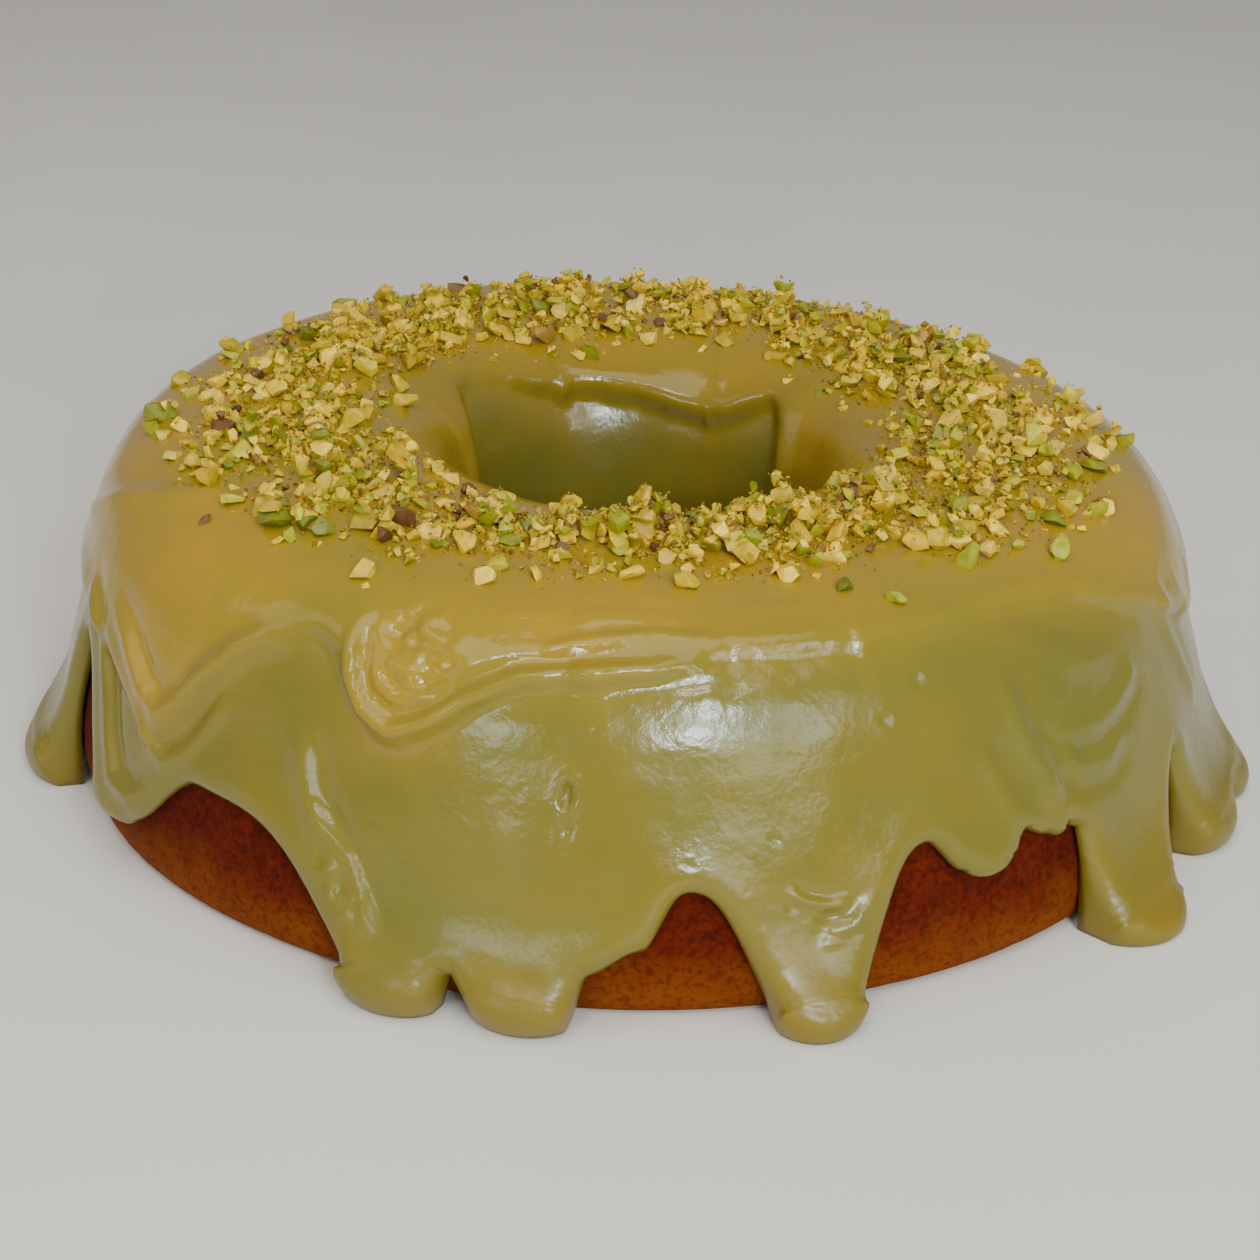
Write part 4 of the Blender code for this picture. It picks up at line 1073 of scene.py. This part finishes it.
class Nodes:
    """A short way to write a node tree."""

    def __init__(self, name):
        self.mat = bpy.data.materials.new(name)
        self.mat.use_nodes = True
        self.tree = self.mat.node_tree
        self.shader = self.tree.nodes["Principled BSDF"]

    def node(self, kind, **inputs):
        node = self.tree.nodes.new(kind)
        for key, value in inputs.items():
            self.put(node.inputs[key.replace("_", " ")], value)
        return node

    def put(self, socket, value):
        if isinstance(value, bpy.types.NodeSocket):
            self.tree.links.new(value, socket)
        else:
            socket.default_value = value

    def set(self, **inputs):
        for key, value in inputs.items():
            self.put(self.shader.inputs[key.replace("_", " ")], value)

    def place(self):
        return self.node("ShaderNodeTexCoord").outputs["Object"]

    def noise(self, size, detail=3.0, roughness=0.55, seed=0.0):
        """Noise with lumps of this size in millimetres."""
        node = self.tree.nodes.new("ShaderNodeTexNoise")
        node.noise_dimensions = "4D"
        self.put(node.inputs["Vector"], self.place())
        self.put(node.inputs["W"], seed)
        self.put(node.inputs["Scale"], 1.0 / (size * MM))
        self.put(node.inputs["Detail"], detail)
        self.put(node.inputs["Roughness"], roughness)
        return node.outputs["Fac"]

    def ramp(self, value, *stops):
        node = self.tree.nodes.new("ShaderNodeValToRGB")
        elements = node.color_ramp.elements
        while len(elements) < len(stops):
            elements.new(0.5)
        for element, (position, colour) in zip(elements, stops):
            element.position = position
            element.color = (*colour, 1.0) if len(colour) == 3 else colour
        self.put(node.inputs["Fac"], value)
        return node.outputs["Color"]

    def mix(self, share, first, second, blend="MIX"):
        node = self.tree.nodes.new("ShaderNodeMix")
        node.data_type = "RGBA"
        node.blend_type = blend
        self.put(node.inputs[0], share)
        self.put(node.inputs[6], (*first, 1.0) if isinstance(first, tuple) else first)
        self.put(node.inputs[7], (*second, 1.0) if isinstance(second, tuple) else second)
        return node.outputs[2]

    def range(self, value, low, high, to_low, to_high):
        node = self.tree.nodes.new("ShaderNodeMapRange")
        for index, item in enumerate((value, low, high, to_low, to_high)):
            self.put(node.inputs[index], item)
        return node.outputs[0]

    def attribute(self, name):
        node = self.tree.nodes.new("ShaderNodeAttribute")
        node.attribute_name = name
        return node

    def bump(self, height, distance, strength=1.0, normal=None):
        node = self.tree.nodes.new("ShaderNodeBump")
        self.put(node.inputs["Height"], height)
        node.inputs["Distance"].default_value = distance * MM
        node.inputs["Strength"].default_value = strength
        if normal is not None:
            self.put(node.inputs["Normal"], normal)
        return node.outputs["Normal"]


# Colours of the two pours: partly their own tones, partly painted light, with the upper pour over
# the top lighter and warmer and the lower one on the side darker
GLAZE_LOWER_TONE_AND_SIDE_SHADE = (0.166, 0.143, 0.0165)
GLAZE_UPPER_TONE_AND_TOP_LIGHT = (0.318, 0.213, 0.0130)
CRUST_DARK = (0.048, 0.0030, 0.0003)
CRUST_LIGHT = (0.125, 0.0120, 0.0006)
CRUST_BASE = (0.195, 0.0450, 0.0018)


def glaze_material():
    n = Nodes("glaze_poured")
    pour = n.attribute("pour").outputs["Fac"]
    # The pour mask mixes the two colours, and with them the painted top light and side shade
    colour = n.mix(pour, GLAZE_LOWER_TONE_AND_SIDE_SHADE, GLAZE_UPPER_TONE_AND_TOP_LIGHT)
    cloud = n.noise(22.0, 3.0, 0.5, 1.0)
    shade = n.ramp(cloud, (0.30, (0.86, 0.93, 1.08)), (0.70, (1.20, 1.04, 0.88)))
    colour = n.mix(1.0, colour, shade, "MULTIPLY")
    # Thick glaze at the feet is warmer
    height = n.node("ShaderNodeSeparateXYZ", Vector=n.place()).outputs["Z"]
    thick = n.range(height, 0.002, 0.020, 1.0, 0.0)
    colour = n.mix(thick, colour, n.mix(1.0, colour, (1.14, 0.96, 0.45), "MULTIPLY"))
    # Painted shade in and near the hole: the glaze colour is darker towards the axis
    flat = n.node("ShaderNodeVectorMath", Vector=n.place())
    flat.operation = "MULTIPLY"
    flat.inputs[1].default_value = (1.0, 1.0, 0.0)
    from_axis = n.node("ShaderNodeVectorMath", Vector=flat.outputs[0])
    from_axis.operation = "LENGTH"
    hole_painted_shade = n.range(from_axis.outputs["Value"], 0.040, 0.064, 1.0, 0.0)
    colour = n.mix(hole_painted_shade, colour, n.mix(1.0, colour, (0.80, 0.79, 0.86), "MULTIPLY"))
    n.set(Base_Color=colour)
    patches = n.noise(9.0, 2.0, 0.5, 4.0)
    rough = n.range(patches, 0.35, 0.65, n.range(pour, 0.0, 1.0, 0.14, 0.08),
                    n.range(pour, 0.0, 1.0, 0.24, 0.15))
    n.set(Roughness=n.range(n.range(height, 0.006, 0.026, 1.0, 0.0), 0.0, 1.0, rough, 0.36))
    ripple = n.noise(1.1, 3.0, 0.6, 2.0)
    wave = n.noise(5.0, 2.0, 0.5, 3.0)
    normal = n.bump(wave, 0.25, 0.6)
    n.set(Normal=n.bump(ripple, 0.10, 0.6, normal))
    n.set(IOR=1.47, Subsurface_Weight=0.12, Subsurface_Radius=(1.0, 0.7, 0.2),
          Subsurface_Scale=0.004)
    return n.mat


def crust_material():
    n = Nodes("crust_baked")
    fine = n.noise(1.6, 4.0, 0.65, 1.0)
    wide = n.noise(9.0, 3.0, 0.55, 2.0)
    colour = n.ramp(n.mix(0.4, fine, wide), (0.36, CRUST_DARK), (0.62, CRUST_LIGHT))
    low = n.node("ShaderNodeSeparateXYZ", Vector=n.place()).outputs["Z"]
    blur = n.range(wide, 0.3, 0.7, -0.004, 0.004)
    add = n.tree.nodes.new("ShaderNodeMath")
    n.put(add.inputs[0], low)
    n.put(add.inputs[1], blur)
    base = n.range(add.outputs[0], 0.004, 0.016, 1.0, 0.0)
    colour = n.mix(base, colour, CRUST_BASE)
    # Darker spots: painted shade of the crust's small pores
    pores = n.ramp(n.noise(1.1, 2.0, 0.55, 7.0),
                   (0.36, (0.66, 0.50, 0.40)), (0.52, (1.0, 0.96, 0.96)))
    colour = n.mix(1.0, colour, pores, "MULTIPLY")
    n.set(Base_Color=colour, Roughness=0.9)
    n.set(Normal=n.bump(n.noise(0.7, 4.0, 0.7, 3.0), 0.45, 0.7))
    n.set(Specular_IOR_Level=0.12)
    return n.mat


def nut_material(name, stops, rough):
    """Nut flesh: a colour for each piece from its tint, with fine mottling."""
    n = Nodes(name)
    tint = n.node("ShaderNodeSeparateColor", Color=n.attribute("tint").outputs["Color"])
    colour = n.ramp(tint.outputs[0], *stops)
    bright = n.range(tint.outputs[1], 0.0, 1.0, 0.72, 1.18)
    level = n.tree.nodes.new("ShaderNodeCombineColor")
    for k in range(3):
        n.put(level.inputs[k], bright)
    colour = n.mix(1.0, colour, level.outputs[0], "MULTIPLY")
    mottle = n.ramp(n.noise(1.3, 3.0, 0.6, 2.0),
                    (0.32, (0.70, 0.64, 0.42)), (0.60, (1.04, 0.98, 0.80)))
    colour = n.mix(1.0, colour, mottle, "MULTIPLY")
    n.set(Base_Color=colour, Roughness=rough)
    n.set(Normal=n.bump(n.noise(0.5, 3.0, 0.6, 5.0), 0.15, 0.5))
    n.set(Subsurface_Weight=0.08, Subsurface_Radius=(1.0, 0.8, 0.3), Subsurface_Scale=0.0015)
    return n.mat


def nut_materials():
    return {
        "cream": nut_material("nut_cream", (
            (0.0, (0.92, 0.69, 0.10)), (0.25, (0.86, 0.61, 0.030)),
            (0.65, (0.72, 0.49, 0.008)), (1.0, (0.52, 0.42, 0.005))), 0.5),
        "green": nut_material("nut_green", (
            (0.0, (0.62, 0.53, 0.010)), (0.6, (0.38, 0.39, 0.007)),
            (1.0, (0.19, 0.225, 0.008))), 0.5),
        "skin": nut_material("nut_skin", (
            (0.0, (0.42, 0.24, 0.03)), (0.6, (0.20, 0.09, 0.02)),
            (1.0, (0.09, 0.03, 0.015))), 0.55),
        "dust": nut_material("nut_dust", (
            (0.0, (0.74, 0.50, 0.030)), (0.35, (0.44, 0.30, 0.008)),
            (0.7, (0.26, 0.185, 0.005)), (1.0, (0.16, 0.080, 0.005))), 0.65),
    }


# Camera, floor and light

CAMERA_BACK = 465.7
CAMERA_UP = 224.2
CAMERA_PITCH = 0.407
CAMERA_ROLL = 0.017
CAMERA_LENS = 65.714
CAMERA_SHIFT = -0.00595


def add_camera():
    data = bpy.data.cameras.new("camera")
    data.lens = CAMERA_LENS
    data.sensor_width = 36.0
    data.shift_x = CAMERA_SHIFT
    camera = bpy.data.objects.new("camera", data)
    bpy.context.scene.collection.objects.link(camera)
    cp, sp = math.cos(CAMERA_PITCH), math.sin(CAMERA_PITCH)
    cr, sr = math.cos(CAMERA_ROLL), math.sin(CAMERA_ROLL)
    side, up, ahead = Vector((1, 0, 0)), Vector((0, sp, cp)), Vector((0, cp, -sp))
    right = side * cr + up * sr
    above = up * cr - side * sr
    turned = Matrix((right, above, -ahead)).transposed().to_4x4()
    spot = Vector(AXIS) + Vector((0.0, -CAMERA_BACK * MM, CAMERA_UP * MM))
    camera.matrix_world = Matrix.Translation(spot) @ turned
    bpy.context.scene.camera = camera


def add_light(name, azimuth, elevation, distance, width, height, power, colour):
    """A soft box that looks at the cake, placed by its direction from the cake."""
    data = bpy.data.lights.new(name, "AREA")
    data.shape = "RECTANGLE"
    data.size = width
    data.size_y = height
    data.energy = power
    data.color = colour
    lamp = bpy.data.objects.new(name, data)
    bpy.context.scene.collection.objects.link(lamp)
    a, e = math.radians(azimuth), math.radians(elevation)
    away = Vector((math.sin(a) * math.cos(e), -math.cos(a) * math.cos(e), math.sin(e)))
    lamp.location = Vector((0.0, 0.0, 0.05)) + away * distance
    lamp.rotation_euler = away.to_track_quat("Z", "Y").to_euler()


def add_stage():
    mesh = bpy.data.meshes.new("floor")
    bm = bmesh.new()
    bmesh.ops.create_circle(bm, cap_ends=True, radius=6.0, segments=64)
    bm.to_mesh(mesh)
    bm.free()
    n = Nodes("floor_pale")
    cloud = n.noise(160.0, 3.0, 0.5, 1.0)
    n.set(Base_Color=n.ramp(cloud, (0.3, (0.76, 0.74, 0.70)), (0.7, (0.82, 0.80, 0.765))),
          Roughness=0.6)
    mesh.materials.append(n.mat)
    floor = bpy.data.objects.new("floor", mesh)
    bpy.context.scene.collection.objects.link(floor)
    world = bpy.data.worlds.new("room")
    bpy.context.scene.world = world
    world.use_nodes = True
    back = world.node_tree.nodes["Background"]
    back.inputs["Color"].default_value = (1.0, 0.97, 0.92, 1.0)
    back.inputs["Strength"].default_value = 0.34


# Name, azimuth, elevation, distance, width, height, power, colour
LIGHTS = (
    ("window_low", 15.5, 20.0, 1.3, 0.33, 0.09, 2.4, (0.76, 0.93, 1.0)),
    ("window_high", 16.0, 27.5, 1.3, 0.31, 0.15, 1.7, (0.76, 0.93, 1.0)),
    ("pane_low", 13.5, 20.2, 1.28, 0.16, 0.03, 3.2, (0.86, 0.97, 1.0)),
    ("pane_high", 18.0, 31.0, 1.28, 0.12, 0.06, 2.2, (0.86, 0.97, 1.0)),
    ("window_side", 36.0, 22.0, 1.5, 0.17, 0.50, 2.3, (0.84, 0.95, 1.0)),
    ("table_glow", 26.0, 12.0, 1.4, 0.40, 0.22, 1.5, (1.0, 0.94, 0.76)),
    ("window_left", -25.0, 14.0, 1.5, 0.34, 0.26, 2.4, (0.84, 0.96, 1.0)),
    ("lamp_left", -14.0, 50.0, 1.5, 0.34, 0.02, 2.6, (1.0, 0.95, 0.86)),
    ("lamp_right", 17.0, 46.0, 1.5, 0.30, 0.02, 2.0, (1.0, 0.95, 0.86)),
    ("warm_left", -72.0, 32.0, 1.6, 0.9, 0.8, 2.8, (1.0, 0.88, 0.66)),
    ("ceiling", 5.0, 70.0, 1.6, 1.3, 1.1, 11.0, (1.0, 0.955, 0.88)),
)


def find_axis():
    """The middle of the hole in the frame, from the box of the cake node."""
    section = smooth_path(CAKE_SECTION, 0.25)
    a = np.repeat(np.arange(CAKE_SEGMENTS) * 360.0 / CAKE_SEGMENTS, len(section))
    r = np.tile(section[:, 0], CAKE_SEGMENTS)
    z = np.tile(section[:, 1], CAKE_SEGMENTS)
    ring = place(a, r, z, side_wave(a, z)) * MM
    low, high = (np.array(corner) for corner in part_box("cake"))
    axis = 0.5 * (low + high) - 0.5 * (ring.min(axis=0) + ring.max(axis=0))
    return np.array([axis[0], axis[1], 0.0])


def main():
    add_camera()
    add_stage()
    for row in LIGHTS:
        add_light(*row)
    points, quads = crust_mesh()
    crust = add_mesh("crust", points, quads, crust_material())
    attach(crust, "root")
    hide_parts("cake")
    glaze = Glaze()
    points, faces, pour = glaze_mesh(glaze)
    icing = add_mesh("icing", points, faces, glaze_material(), True, {"pour": pour})
    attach(icing, "root")
    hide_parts("glaze")
    add_nut_pieces(glaze, nut_materials())


AXIS = find_axis()
main()
